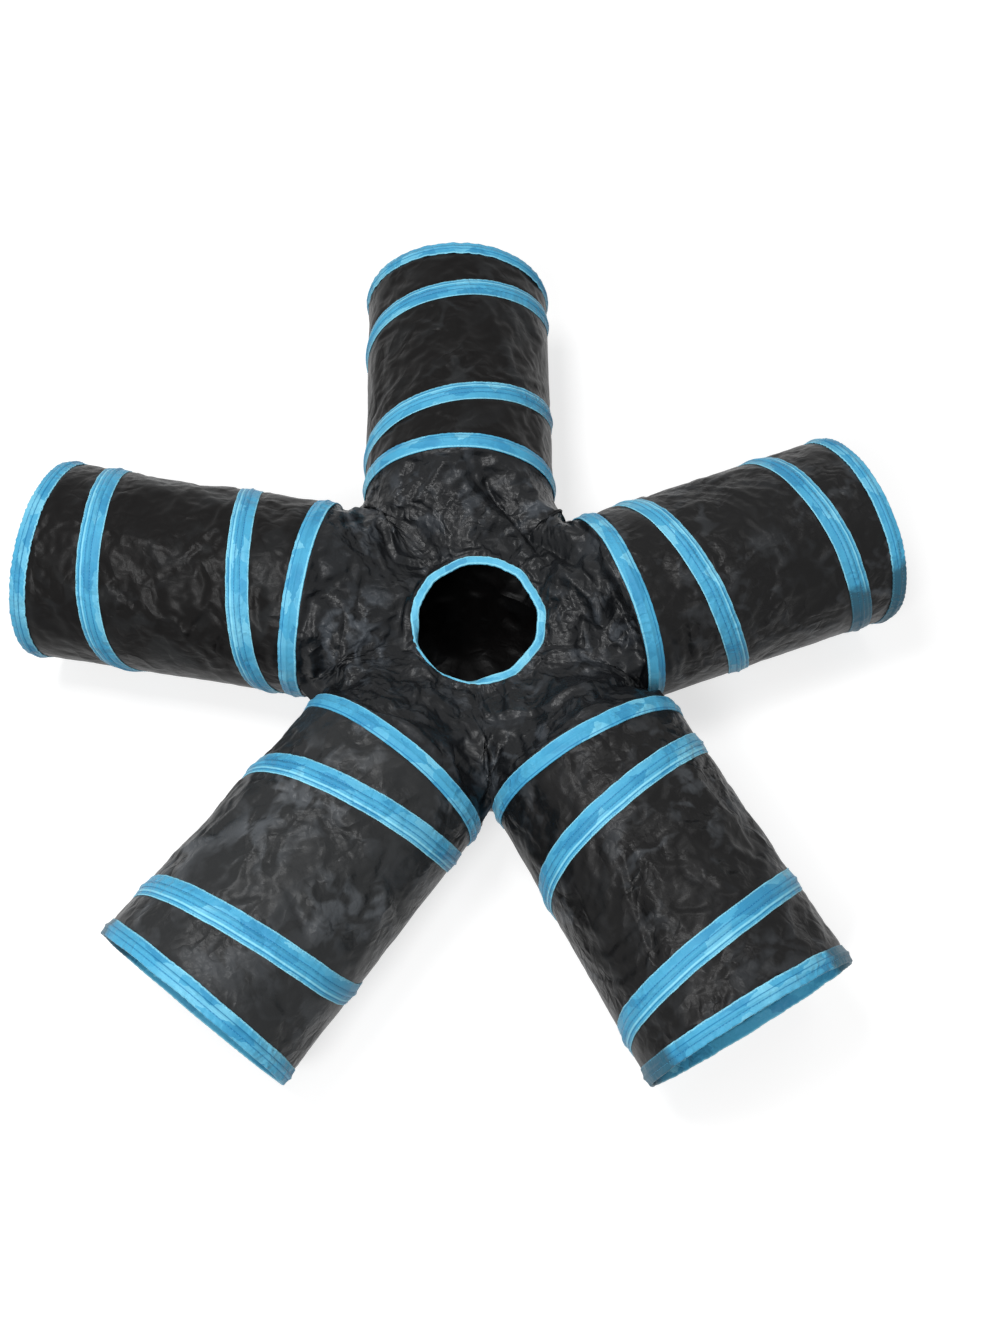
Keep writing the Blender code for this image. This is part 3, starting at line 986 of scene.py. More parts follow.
@dataclass(frozen=True)
class SpringSteel:
    """Drawn spring wire: grey steel with fine marks along it."""

    colour: tuple[float, float, float] = (0.56, 0.57, 0.59)
    roughness: float = 0.30

    def material(self, name: str) -> bpy.types.Material:
        """Build the material.

        Args:
            name: its name.

        Returns:
            The material.
        """
        made, wires, shader = new_material(name)
        marks = wires.noise(wires.add("TexCoord").outputs["Object"], 400.0, 3.0).outputs["Fac"]
        wires.feed(shader, {
            "Base Color": (*self.colour, 1.0),
            "Roughness": wires.ramp(marks, 0.3, 0.7, self.roughness - 0.08, self.roughness + 0.15),
            "Metallic": 1.0,
        })
        return made


@dataclass(frozen=True)
class Finishes:
    """The materials of the object."""

    polyester: bpy.types.Material
    calm_polyester: bpy.types.Material
    worn_polyester: bpy.types.Material
    hub_polyester: bpy.types.Material
    coil_tape: bpy.types.Material
    ring_tape: bpy.types.Material
    mouth_tape: bpy.types.Material
    peephole_tape: bpy.types.Material
    thread: bpy.types.Material
    steel: bpy.types.Material


def wear_finish(piece: bpy.types.Object, material: bpy.types.Material) -> None:
    """Give a piece its material.

    Args:
        piece: the piece.
        material: what it wears.
    """
    piece.data.materials.clear()
    piece.data.materials.append(material)


@dataclass(frozen=True)
class Arm:
    """One arm: where it stands, how its fabric creases, and all that is sewn to it.

    Attributes:
        name: which arm it is, as the model names it.
        bearing: degrees from the hub's middle to its ring's middle, seen from above.
        standoff: how far out its ring stands from a tight pentagon of rings.
        heading: degrees to which the arm points.
        seed: start of its random draws.
        crumple: how steep its dents are.
        folds: its long folds, on the unrolled fabric.
        fabric: which copy of the polyester it wears, some with colours painted darker as shade or lighter
            as light.
        hub_tape_share: how much of its hub ring's tape lies flat and shows.
        painted_shade_spots: spots of painted shade on its tapes, as (place along the arm, degrees round
            it).
        sleeve_rows: rows of points along the sleeve.
        sleeve_columns: columns of points round it.
    """

    name: str
    bearing: float
    standoff: float
    heading: float
    seed: int
    crumple: float = 0.06
    folds: tuple[Fold, ...] = ()
    fabric: Fabric = Fabric.CREASED
    hub_tape_share: float = 1.0
    painted_shade_spots: tuple[tuple[float, float], ...] = ()
    sleeve_rows: int = 117
    sleeve_columns: int = 256

    @property
    def stand(self) -> Matrix:
        """Where the arm stands.

        Returns:
            The matrix that puts its ring's middle on the floor and points it outwards.
        """
        distance = HUB_RING_WIDTH / 2.0 / math.tan(math.pi / 5.0) + self.standoff
        bearing = math.radians(self.bearing)
        middle = Vector((distance * math.cos(bearing), distance * math.sin(bearing), 0.0))
        return Matrix.Translation(middle) @ Matrix.Rotation(math.radians(self.heading), 4, "Z")

    @property
    def outwards(self) -> Vector:
        """Direction in which the arm points."""
        return Vector((math.cos(math.radians(self.heading)), math.sin(math.radians(self.heading)), 0.0))

    def painted_shade_places(self, on_mouth: bool) -> tuple[tuple[float, float, float], ...]:
        """Middles of the spots of painted shade on the mouth's tape, or on the coil's."""
        spots = (spot for spot in self.painted_shade_spots if (spot[0] == ARM_LENGTH) is on_mouth)
        return tuple(tuple(self.stand @ Vector(TUBE.point(*spot, 0.0).tolist())) for spot in spots)

    def fold_away(self, piece: bpy.types.Object) -> None:
        """Let a piece ride on the arm, with its own copy of its mesh.

        Args:
            piece: the piece.
        """
        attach(piece, self.name + "_arm")
        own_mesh(piece)

    def sleeve(self) -> bpy.types.Object:
        """Make the fabric tube, buckled between its bands of tape.

        Returns:
            The piece.
        """
        station = np.linspace(GAP, SLEEVE_HEM, self.sleeve_rows)[:, None]
        angle = np.linspace(-90.0, 270.0, self.sleeve_columns, endpoint=False)[None, :]
        station, angle = np.broadcast_arrays(station, angle)
        share, _ = TUBE.between_bands(station, angle)
        round_it = np.radians(angle) * RING_DIAMETER / 2.0
        grid = TUBE.point(station, angle, -TUBE.waist(station, angle))
        inside = np.minimum(share, 1.0 - share)
        bare = smoothstep(inside / 0.14)
        upper = 0.25 + 0.75 * smoothstep(1.5 * np.sin(np.radians(angle)))
        dimples = Crumple(size=0.045, slope=0.05, seed=self.seed + 20).over(round_it, station)
        start = TUBE.point(station, angle, dimples * (share > 0.0) - TUBE.waist(station, angle))
        settle = Settle(spare=0.012, frames=18, bending=0.01, weight=0.0006, reach=0.0035)
        settled = settle.run(self.name, start, share <= 0.02)
        grid = grid + (settled - grid) * (upper * smoothstep(inside / 0.06))[..., None]
        unseamed = smoothstep((angle + 90.0) / 12.0) * smoothstep((270.0 - angle) / 12.0)
        dents = Crumple(size=0.034, slope=self.crumple, seed=self.seed).over(round_it, station)
        dents += Crumple(size=0.016, slope=0.8 * self.crumple, seed=self.seed + 30).over(round_it, station)
        unrolled = np.stack((round_it, station), -1)
        folds = sum((fold.over(unrolled) for fold in self.folds), np.zeros_like(dents))
        away = TUBE.point(station, angle, 1.0) - TUBE.point(station, angle, 0.0)
        grid = grid + away * ((dents * unseamed * upper + folds) * bare)[..., None]
        face = TUBE.point(station, angle, 0.0)
        proud = np.maximum(((grid - face) * away).sum(-1), 0.0)
        middle = np.minimum(station - BULGING_PART[0], BULGING_PART[1] - station)
        room = END_BULGE + MORE_BULGE * smoothstep(middle / 0.030)
        grid = grid - away * (proud - room * np.tanh(proud / room))[..., None]
        grid[..., 2] = np.maximum(grid[..., 2], GAP)
        flat = np.concatenate((unrolled, unrolled[:, :1] + np.array((math.pi * RING_DIAMETER, 0.0))), 1)
        mesh = grid_mesh("sleeve", grid, round_columns=True, uv=flat)
        return put(self.name + "_crinkled_sleeve", mesh, self.stand)

    def ribbon(self, name: str, turned: Array, centre: Array, profile: Callable[[Array], Array],
               across: Array, seed: int) -> bpy.types.Mesh:
        """Skin a tape that runs round the tube.

        Args:
            name: the mesh's name.
            turned: degrees that each cross-section has turned from the underside.
            centre: the tape's middle station at each of them.
            profile: gives the offset of the tape's outer face for places across it.
            across: places across the tape, in metres.
            seed: start of the random draws for its puckers.

        Returns:
            The tape's mesh, in the arm's frame, with its edges turned down.
        """
        draw = np.random.default_rng(seed)
        run = along_line(np.stack((centre, np.radians(turned) * RING_DIAMETER / 2.0), -1))
        pucker = sum(
            draw.uniform(0.3, 1.0) * np.sin(run / draw.uniform(0.0012, 0.006) + draw.uniform(0.0, 6.3))
            for _ in range(7)
        ) / 3.0
        sway = sum(
            np.sin(run / draw.uniform(0.008, 0.03) + draw.uniform(0.0, 6.3)) for _ in range(3)
        ) / 3.0
        edge = (np.abs(across) / np.abs(across).max()) ** 2
        lift = profile(across)[None, :] + 0.00035 * pucker[:, None] * (0.35 + 0.65 * edge)[None, :]
        spread = 0.4 * pucker[:, None] * np.sign(across) * edge
        shift = across[None, :] + 0.0005 * (sway[:, None] + spread)
        station = centre[:, None] + np.concatenate((shift[:, :1], shift, shift[:, -1:]), 1)
        turned_down = np.full_like(lift[:, :1], GAP / 2.0)
        lift = np.concatenate((turned_down, lift, turned_down), 1)
        places = TUBE.point(station, (turned - 90.0)[:, None], lift)
        wide = np.concatenate(([across[0] - TAPE_THICKNESS], across, [across[-1] + TAPE_THICKNESS]))
        flat = np.stack(np.broadcast_arrays(run[:, None], wide[None, :]), -1)
        return grid_mesh(name, places, uv=flat)

    def coil_tape(self) -> bpy.types.Object:
        """Make the tape over the coiled wire: sewn down at its edges, ridged over the wire.

        Returns:
            The piece.
        """
        half = COIL_TAPE_WIDTH / 2.0
        first = HUB_TAPE_ARM_SIDE + 2.0 * GAP
        last = ARM_LENGTH - MOUTH_TAPE_REACH - 2.0 * GAP
        start, end = TUBE.turned_at(first + MILLIMETRE), TUBE.turned_at(last - MILLIMETRE)
        turned = np.linspace(start, end, 620)
        centre = TUBE.climb(turned)
        across = np.array((
            -14.0, -12.8, -11.2, -9.0, -7.0, -5.5, -4.3, -3.4, -2.5, -1.4, -0.5,
            0.5, 1.4, 2.5, 3.4, 4.3, 5.5, 6.8, 7.9, 9.2, 11.2, 12.8, 14.0,
        )) * MILLIMETRE

        def profile(place: Array) -> Array:
            """Shape the tape.

            Args:
                place: places across it, in metres.

            Returns:
                How far its outer face stands off the sleeve.
            """
            tent = 0.0008 + 0.0017 * (1.0 - np.abs(place) / half) ** 1.2
            wire = 0.0010 * bell(place, 0.0015) - 0.0005 * bell(np.abs(place) - 0.0034, 0.0009)
            return tent + wire + 0.0004 * bell(place - 0.0080, 0.0012)

        mesh = self.ribbon("coil_tape", turned, centre, profile, across, self.seed + 40)
        places = places_of(mesh)
        places[:, 0] = np.clip(places[:, 0], first, last)
        move_points(mesh, places)
        return put(self.name + "_coil_band", mesh, self.stand)

    def hub_ring_tape(self) -> bpy.types.Object:
        """Make the tape over the seam of hub and sleeve.

        Returns:
            The piece.
        """
        middle = (HUB_TAPE_ARM_SIDE - HUB_TAPE_HUB_SIDE) / 2.0
        turned = np.linspace(0.0, 360.0, 300)
        across = self.hub_tape_share * MILLIMETRE * np.array((
            -11.0, -10.2, -9.2, -7.0, -4.5, -2.4, -1.2, 0.0, 1.0, 2.2, 3.4, 4.8, 7.0, 9.0, 10.2, 11.0,
        ))

        def profile(place: Array) -> Array:
            """Shape the tape.

            Args:
                place: places across it, in metres.

            Returns:
                How far its outer face stands off the sleeve.
            """
            wire = place + middle
            tent = 0.0010 + 0.0018 * np.maximum(1.0 - np.abs(wire) / HUB_TAPE_HUB_SIDE, 0.0)
            fold = 0.0004 * bell(place + 0.0102 * self.hub_tape_share, 0.0007)
            return tent + 0.0008 * bell(wire, 0.0014) + fold

        centre = np.full_like(turned, middle)
        mesh = self.ribbon("hub_ring_tape", turned, centre, profile, across, self.seed + 60)
        return put(self.name + "_hub_ring_band", mesh, self.stand)

    def mouth_binding(self) -> bpy.types.Object:
        """Make the tape that is folded over the mouth's hem and its wire.

        Returns:
            The piece.
        """
        reach, under = MOUTH_TAPE_REACH, -FABRIC_THICKNESS - GAP - TAPE_THICKNESS
        path = np.array((
            (-10.0, 0.2), (-10.0, 1.0), (-8.8, 1.2), (-6.4, 1.5), (-3.8, 1.9), (-2.4, 2.3), (-1.2, 3.1),
            (0.0, 3.6), (1.2, 3.1), (2.4, 2.3), (3.8, 1.9), (6.2, 1.5), (8.4, 1.3), (9.5, 1.0),
            (10.1, 0.3), (10.2, -0.6), (9.8, -1.5), (8.6, -2.0), (5.4, -2.1), (1.8, -2.2), (-1.8, -2.1),
            (-4.9, -2.0), (-5.0, -1.3),
        )) * MILLIMETRE
        turned = np.linspace(0.0, 360.0, 320, endpoint=False)
        draw = np.random.default_rng(self.seed + 80)
        run = np.radians(turned) * RING_DIAMETER / 2.0
        rim = run[-1] + run[1]

        def wave(fewest: int, most: int) -> Array:
            """A closed wave round the rim with a random number of turns."""
            turns = 2.0 * math.pi * draw.integers(fewest, most) * run / rim
            return np.sin(turns + draw.uniform(0.0, 6.3))

        pucker = sum(draw.uniform(0.4, 1.0) * wave(20, 120) for _ in range(8)) / 3.0
        sway = sum(wave(4, 18) for _ in range(4)) / 4.0
        away = np.abs(path[:, 0]) / reach
        station = ARM_LENGTH + path[None, :, 0] + 0.0006 * (sway[:, None] + 0.5 * pucker[:, None]) * away
        loose = np.where(path[:, 1] > under / 2.0, 0.4 + away, 0.3)
        lift = path[None, :, 1] + 0.0004 * pucker[:, None] * loose
        places = TUBE.point(station, (turned - 90.0)[:, None], lift)
        steps = along_line(path)
        flat = np.stack(np.broadcast_arrays(np.append(run, rim)[:, None], steps[None, :]), -1)
        mesh = grid_mesh("mouth_binding", places, round_rows=True, uv=flat)
        return put(self.name + "_mouth_band", mesh, self.stand)

    def seams(self) -> tuple[bpy.types.Object, bpy.types.Object, bpy.types.Object]:
        """Sew the tapes down with rows of stitches.

        Returns:
            The stitches of the coil tape, of the hub ring's tape and of the mouth's tape.
        """
        short = 1.5 * MILLIMETRE
        first, last = HUB_TAPE_ARM_SIDE + short, ARM_LENGTH - MOUTH_TAPE_REACH - short
        turned = np.linspace(TUBE.turned_at(first), TUBE.turned_at(last), 1600)
        coil = [
            (turned, np.clip(TUBE.climb(turned) + place, first, last), lift)
            for place, lift in ((-0.0126, 0.0013), (0.0126, 0.0013), (-0.0034, 0.0020), (0.0034, 0.0020))
        ]
        round_it = np.linspace(0.0, 360.0, 720)
        middle = (HUB_TAPE_ARM_SIDE - HUB_TAPE_HUB_SIDE) / 2.0
        aside = 0.0098 * self.hub_tape_share
        ring = [
            (round_it, np.full_like(round_it, place), 0.0014) for place in (middle - aside, middle + aside)
        ]
        mouth = [
            (round_it, np.full_like(round_it, ARM_LENGTH + place), lift)
            for place, lift in ((-0.0088, 0.0013), (0.0036, 0.0021))
        ]
        sewn = {"_coil_stitches": coil, "_hub_ring_stitches": ring, "_mouth_stitches": mouth}
        return tuple(put(self.name + name, stitch_mesh(rows), self.stand) for name, rows in sewn.items())

    def wire(self) -> bpy.types.Object:
        """Make the spring wire: a closed turn at the hub, the coil and a closed turn at the mouth.

        Returns:
            The piece.
        """
        turned = np.arange(-360.0 + TIP_LAP, COIL_END + 360.0 - TIP_LAP, 4.5)
        middle = TUBE.point(TUBE.climb(turned), turned - 90.0, GAP + WIRE_DIAMETER / 2.0)
        along = np.gradient(middle, axis=0)
        along /= np.linalg.norm(along, axis=1, keepdims=True)
        side = np.cross(along, (1.0, 0.0, 0.0))
        side /= np.linalg.norm(side, axis=1, keepdims=True)
        up = np.cross(side, along)
        around = np.radians(np.arange(0.0, 360.0, 45.0))
        ring = np.cos(around)[None, :, None] * side[:, None] + np.sin(around)[None, :, None] * up[:, None]
        mesh = grid_mesh("spring_wire", middle[:, None] + ring * WIRE_DIAMETER / 2.0, round_columns=True)
        return put(self.name + "_spring", mesh, self.stand)

    def dress(self, finishes: Finishes) -> None:
        """Make all of the arm's pieces and let them ride on its bodies.

        Args:
            finishes: the object's materials.
        """
        arm, mouth = self.name + "_arm", self.name + "_mouth"
        sleeve, coil, ring = self.sleeve(), self.coil_tape(), self.hub_ring_tape()
        rim, wire = self.mouth_binding(), self.wire()
        # Besides the creased polyester, one copy has colours painted darker as shade and one painted
        # lighter as light.
        fabrics = {
            Fabric.CREASED: finishes.polyester, Fabric.CALM: finishes.calm_polyester,
            Fabric.WORN: finishes.worn_polyester,
        }
        wear_finish(sleeve, fabrics[self.fabric])
        wear_finish(wire, finishes.steel)
        for tape, finish in (
            (coil, finishes.coil_tape), (ring, finishes.ring_tape), (rim, finishes.mouth_tape),
        ):
            wear_finish(tape, finish)
        for piece, node in (
            (sleeve, "_sleeve"), (coil, "_coil_tape"), (ring, "_hub_ring_tape"), (rim, "_mouth_binding"),
            (wire, "_spring_wire"),
        ):
            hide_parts(self.name + node)
        seams = self.seams()
        for seam in seams:
            wear_finish(seam, finishes.thread)
        coil_seam, ring_seam, mouth_seam = seams
        for piece in (sleeve, coil, wire, coil_seam):
            self.fold_away(piece)
        for piece in (ring, ring_seam):
            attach(piece, arm)
        for piece in (rim, mouth_seam):
            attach(piece, mouth)
        for piece in (sleeve, coil, ring, rim, wire, *seams):
            LOG.info("%s: %d faces", piece.name, len(piece.data.polygons))


@dataclass(frozen=True)
class Cut:
    """Flat size of a piece of fabric before it is sewn in: its box and its own area."""

    width: float
    length: float
    area: float

    def declare(self, piece: bpy.types.Object, held: str, rests_on: Sequence[str],
                with_pieces: Sequence[bpy.types.Object] = ()) -> None:
        """Take a piece and the details of the sheet it was cut from, and do nothing with them.

        Args:
            piece: the piece; not used.
            held: how the sheet is held; not used.
            rests_on: names of the pieces that carry it; not used.
            with_pieces: pieces that are sewn to it and were cut with it; not used.
        """


@dataclass(frozen=True)
class Hub:
    """The soft hub: its top panel with the peephole and its floor panel.

    Both panels run from five half rings to a round hem. Each is cut in five gores, one for each arm.
    Between two gores lie two halves of a corner.

    Attributes:
        arms: the arms, anticlockwise.
        folds: long folds of the top panel, seen from above.
        top_cut: flat size of a gore of the top.
        floor_cut: flat size of a gore of the floor.
        patch_cut: flat size of the floor's round middle.
        tape_corners: bearings at which the peephole's tape has a corner, in degrees.
        corner_slack: how far the top bulges at each corner between two arms, in metres.
        slack_bearing: bearing at which the peephole's tape has rolled over.
        slack_roll: how far it has rolled there, in degrees.
        slack_reach: how far to both sides it has, in degrees.
        half_columns: columns of a gore.
        corner_columns: columns of a corner.
        top_rows: rows of the top, from the peephole outwards.
        floor_rows: rows of the floor, from its middle outwards.
        lap: columns of a gore that lie under each of its neighbours.
        bend_start: how far inside its arm's ring a gore starts to follow the arm.
        bend_end: how far inside the ring it follows it fully.
        tip_trust: how firmly a corner's outer end stays with the hub.
    """

    arms: tuple[Arm, ...]
    folds: tuple[Fold, ...] = ()
    top_cut: Cut = Cut(0.42, 0.19, 0.037)
    floor_cut: Cut = Cut(0.42, 0.13, 0.0245)
    patch_cut: Cut = Cut(0.302, 0.302, 0.0716)
    tape_corners: tuple[float, ...] = (
        12.0, 52.0, 78.0, 104.0, 139.0, 171.0, 204.0, 236.0, 268.0, 303.0, 341.0,
    )
    corner_slack: tuple[float, ...] = (0.018, 0.018, 0.005, 0.0, 0.004)
    slack_bearing: float = 231.0
    slack_roll: float = 88.0
    slack_reach: float = 45.0
    half_columns: int = 92
    corner_columns: int = 12
    top_rows: int = 47
    floor_rows: int = 23
    lap: int = 4
    bend_start: float = 0.100
    bend_end: float = 0.008
    tip_trust: float = 30.0

    def rim(self, side: Side) -> tuple[Array, Array]:
        """Outer edge of a panel, anticlockwise.

        Args:
            side: which panel.

        Returns:
            Places at the edge of the rings' tapes and places under them, one for each column.
        """
        angles = 180.0 - side.value * np.linspace(0.0, 180.0, self.half_columns + 1)
        rims, tucks = [], []
        for arm in self.arms:
            stand = np.array(arm.stand)
            for station, rows in ((-HUB_TAPE_HUB_SIDE - 0.0002, rims), (-0.001, tucks)):
                local = TUBE.point(np.full_like(angles, station), angles, -GAP)
                rows.append(local @ stand[:3, :3].T + stand[:3, 3])
        edge, tucked = [], []
        for here, (half, tuck) in enumerate(zip(rims, tucks)):
            following = rims[(here + 1) % len(rims)]
            share = np.linspace(0.0, 1.0, self.corner_columns + 1)[1:-1, None]
            corner = half[-1] + share * (following[0] - half[-1])
            edge += [half, corner]
            tucked += [tuck, corner]
        return np.concatenate(edge), np.concatenate(tucked)

    def relaxed(self, side: Side) -> Array:
        """Rows of a panel from its round hem to the rings, stretched like a film.

        Args:
            side: which panel.

        Returns:
            Places, rows by columns by three. The last row lies under the rings' tapes.
        """
        rim, tuck = self.rim(side)
        if side is Side.TOP:
            frame = np.array(peephole_frame())
            bearing = np.arctan2(rim[:, 1] - frame[1, 3], rim[:, 0] - frame[0, 3])
            radius = PEEPHOLE_DIAMETER / 2.0 + PEEPHOLE_TAPE_WIDTH - 0.0015
            hem = circle(radius, bearing) @ frame[:3, :3].T + frame[:3, 3]
            rows, fall, coarse = self.top_rows, 0.0, 5.0
        else:
            bearing = np.arctan2(rim[:, 1], rim[:, 0])
            hem = circle(FLOOR_PATCH_DIAMETER / 2.0, bearing, GAP)
            rows, fall, coarse = self.floor_rows, 0.0015, 4.0
        share = np.linspace(0.0, 1.0, rows + 1)[:, None, None]
        grid = hem[None] + share * (rim - hem)[None]
        fine_row, fine_column = (rows / coarse) ** 2, (self.half_columns / 10.0) ** 2
        whole = 2.0 * (fine_row + fine_column)
        for _ in range(1400):
            beside = np.roll(grid, 1, 1) + np.roll(grid, -1, 1)
            ahead = np.roll(grid, 1, 0) + np.roll(grid, -1, 0)
            settled = (fine_column * beside + fine_row * ahead) / whole
            settled[:, :, 2] -= fall * 4.0 / whole
            if fall:
                settled[:, :, 2] = np.maximum(settled[:, :, 2], GAP)
            grid[1:-1] = settled[1:-1]
        return np.concatenate((grid, tuck[None]))

    def rumpled(self, film: Array, side: Side) -> Array:
        """Settle and crumple a panel.

        Args:
            film: its places when stretched like a film.
            side: which panel.

        Returns:
            Its places, still held at the hem and at the rings.
        """
        rows, columns = film.shape[:2]
        grid = film
        row = np.arange(rows)[:, None] / (rows - 2.0)
        free = smoothstep(row / 0.10) * smoothstep((1.0 - row) / 0.07)
        outwards = normals_of(film)
        outwards *= np.sign(outwards[rows // 2, :, 2].mean()) * side.value
        across, along = film[..., 0], film[..., 1]
        steep = 0.6 * film[..., 2]
        if side is Side.TOP:
            crumple = Crumple(size=0.060, slope=0.16, seed=3, softness=0.5)
            slack = crumple.over(across + steep, along - steep)
            held_ends = np.clip(row, 0.0, 1.0)
            everywhere = 0.010 * self.near_corners(columns, (1.0,) * len(self.arms), 0.30)
            slacker = self.near_corners(columns, self.corner_slack, 0.34)
            puff = everywhere * np.sin(np.pi * held_ends) ** 2
            puff = puff + slacker * np.sin(np.pi * held_ends ** 1.8) ** 2
            grid = grid + outwards * ((slack + puff) * free)[..., None]
            held = np.broadcast_to((row <= 0.0) | (row > 0.97), (rows, columns))
            settle = Settle(spare=0.05, frames=30, bending=0.02, weight=0.0008, reach=0.022)
            grid = settle.run("hub top", grid, held)
        bumps = Crumple(size=0.034, slope=0.15, seed=31).over(across + steep, along - steep)
        fine = Crumple(size=0.014, slope=0.07, seed=32, softness=0.15)
        bumps += fine.over(across - steep, along + steep)
        if side is Side.TOP:
            bumps += sum((fold.over(film) for fold in self.folds), np.zeros_like(bumps))
        grid = grid + outwards * (bumps * free)[..., None]
        grid[..., 2] = np.maximum(grid[..., 2], GAP)
        return grid

    def near_corners(self, columns: int, amounts: Sequence[float], reach: float) -> Array:
        """Amounts at the corners between two arms, fading away from each.

        Args:
            columns: number of columns round the panel.
            amounts: one for each corner, the first between the first two arms.
            reach: how far they fade, as a share of an arm's columns.

        Returns:
            One row of values.
        """
        each = self.half_columns + self.corner_columns
        total = np.zeros(columns)
        for index, amount in enumerate(amounts):
            middle = index * each + self.half_columns + self.corner_columns / 2.0
            away = (np.arange(columns) - middle + columns / 2.0) % columns - columns / 2.0
            total += amount * bell(away / (reach * each), 1.0)
        return total[None, :]

    def cut_out(self, name: str, grid: Array, normals: Array, side: Side, span: tuple[int, int],
                laps: tuple[int, int]) -> bpy.types.Object:
        """Cut some columns from a panel.

        Args:
            name: the piece's name.
            grid: the whole panel, rows by columns by three.
            normals: its unit normals, which point up at the middle of the panel.
            side: which panel.
            span: first and last column of the piece.
            laps: how many more columns lie under its neighbours, before and after it.

        Returns:
            The piece.
        """
        count = grid.shape[1]
        columns = np.arange(span[0] - laps[0], span[1] + laps[1] + 1)
        beyond = np.clip(np.maximum(span[0] - columns, columns - span[1]), 0, 1)
        rows = np.arange(grid.shape[0])[:, None]
        facing = normals[rows, columns % count] * side.value
        border = grid[rows, np.clip(columns, *span) % count]
        narrow = 0.06 + 0.94 * smoothstep((1.0 - rows / rows.max()) / 0.14)[..., None]
        sunk = LAP_DEPTH * beyond[None, :, None] * facing
        cut = border + narrow * (grid[rows, columns % count] - border) - sunk
        cut[..., 2] = np.maximum(cut[..., 2], GAP / 2.0)
        mesh = grid_mesh("gore", cut, uv=cut[..., :2])
        first = mesh.polygons[0].normal
        signed = facing * (1.0 if first.dot(Vector(facing[0, 0])) > 0.0 else -1.0)
        mesh.normals_split_custom_set_from_vertices(signed.reshape(-1, 3).tolist())
        return put(name, mesh)

    def corner_bend(self, films: dict[Side, Array], arm: Arm, border: int,
                    middle: int) -> tuple[Vector, Vector]:
        """Where half a corner starts and stops to follow its arm.

        It is fitted so that the border bends with the arm's gore and the middle stays with the hub.

        Args:
            films: places of the two stretched panels.
            arm: the arm that it follows at its border.
            border: the column where it meets the arm's gore.
            middle: the column where the two halves of the corner meet.

        Returns:
            A place that follows the hub and one that follows the arm.
        """
        count = films[Side.TOP].shape[1]
        tip = films[Side.TOP][-2, middle % count, :2]
        rows, wanted = [self.tip_trust * np.array([[*tip, 1.0]])], [np.zeros(1)]
        for side, trust in ((Side.TOP, 1.0), (Side.FLOOR, 0.5)):
            places = films[side][:-1, border % count, :2]
            inside = (places - np.array(arm.stand.translation)[:2]) @ np.array(arm.outwards)[:2]
            follow = (inside + self.bend_start) / (self.bend_start - self.bend_end)
            bends = follow > 0.02
            rows.append(trust * np.column_stack((places[bends], np.ones(bends.sum()))))
            wanted.append(trust * follow[bends])
        *slope, level = np.linalg.lstsq(np.concatenate(rows), np.concatenate(wanted), rcond=None)[0]
        step = Vector((*slope, 0.0)) / (slope[0] ** 2 + slope[1] ** 2)
        return -level * step, (1.0 - level) * step

    def panel(self, side: Side, films: dict[Side, Array], finishes: Finishes) -> None:
        """Make one of the hub's two panels out of five gores and five corners.

        Args:
            side: which panel.
            films: places of the two stretched panels.
            finishes: the object's materials.
        """
        film = films[side]
        grid = self.rumpled(film, side)
        upwards = normals_of(film)[len(grid) // 2, :, 2].mean()
        normals = normals_of(grid) * np.sign(upwards)
        node = {Side.TOP: "hub_top_panel", Side.FLOOR: "hub_floor_panel"}[side]
        finish = finishes.hub_polyester if side is Side.TOP else finishes.calm_polyester
        half_corner = self.corner_columns // 2
        for index, arm in enumerate(self.arms):
            first = index * (self.half_columns + self.corner_columns)
            last = first + self.half_columns
            name = "%s_%s" % (side.name.lower(), arm.name)
            middle = arm.stand.translation
            gore = self.cut_out(name + "_gore", grid, normals, side, (first, last), (self.lap, self.lap))
            before, after = (
                self.cut_out(name + label, grid, normals, side, span, laps) for label, span, laps in (
                    ("_corner_before", (first - half_corner, first), (half_corner - 1, 0)),
                    ("_corner_after", (last, last + half_corner), (0, half_corner - 1)),
                )
            )
            for piece, (start, end) in (
                (gore, (middle - arm.outwards * self.bend_start, middle - arm.outwards * self.bend_end)),
                (before, self.corner_bend(films, arm, first, first - half_corner)),
                (after, self.corner_bend(films, arm, last, last + half_corner)),
            ):
                wear_finish(piece, finish)
                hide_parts(node)
                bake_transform(piece)
                LOG.info("%s: %d faces", piece.name, len(piece.data.polygons))
            ring = arm.name + "_hub_ring_band"
            if side is Side.TOP:
                self.top_cut.declare(gore, "hung", (ring, "peephole_band"), (before, after))
            else:
                self.floor_cut.declare(gore, "laid", (ring, "floor_patch"), (before, after))

    def floor_patch(self, finishes: Finishes) -> bpy.types.Object:
        """Make the middle of the floor panel, which lies flat.

        Args:
            finishes: the object's materials.

        Returns:
            The piece.
        """
        radius = np.linspace(0.0002, FLOOR_PATCH_DIAMETER / 2.0 + 0.006, 34)[:, None]
        bearing = np.linspace(0.0, 2.0 * math.pi, 180, endpoint=False)[None, :]
        across, along = radius * np.cos(bearing), radius * np.sin(bearing)
        crumple = Crumple(size=0.030, slope=0.14, seed=7)
        lift = np.maximum(crumple.over(across, along) + 0.0014, GAP)
        fade = smoothstep((FLOOR_PATCH_DIAMETER / 2.0 + 0.004 - radius) / 0.02)
        grid = np.stack(np.broadcast_arrays(across, along, GAP * 2.0 + lift * fade), -1)
        flat = np.concatenate((grid[..., :2], grid[:, :1, :2]), 1)
        piece = put("floor_patch", grid_mesh("floor_patch", grid, round_columns=True, uv=flat))
        wear_finish(piece, finishes.calm_polyester)
        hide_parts("hub_floor_panel")
        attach(piece, "hub")
        self.patch_cut.declare(piece, "laid", ())
        return piece

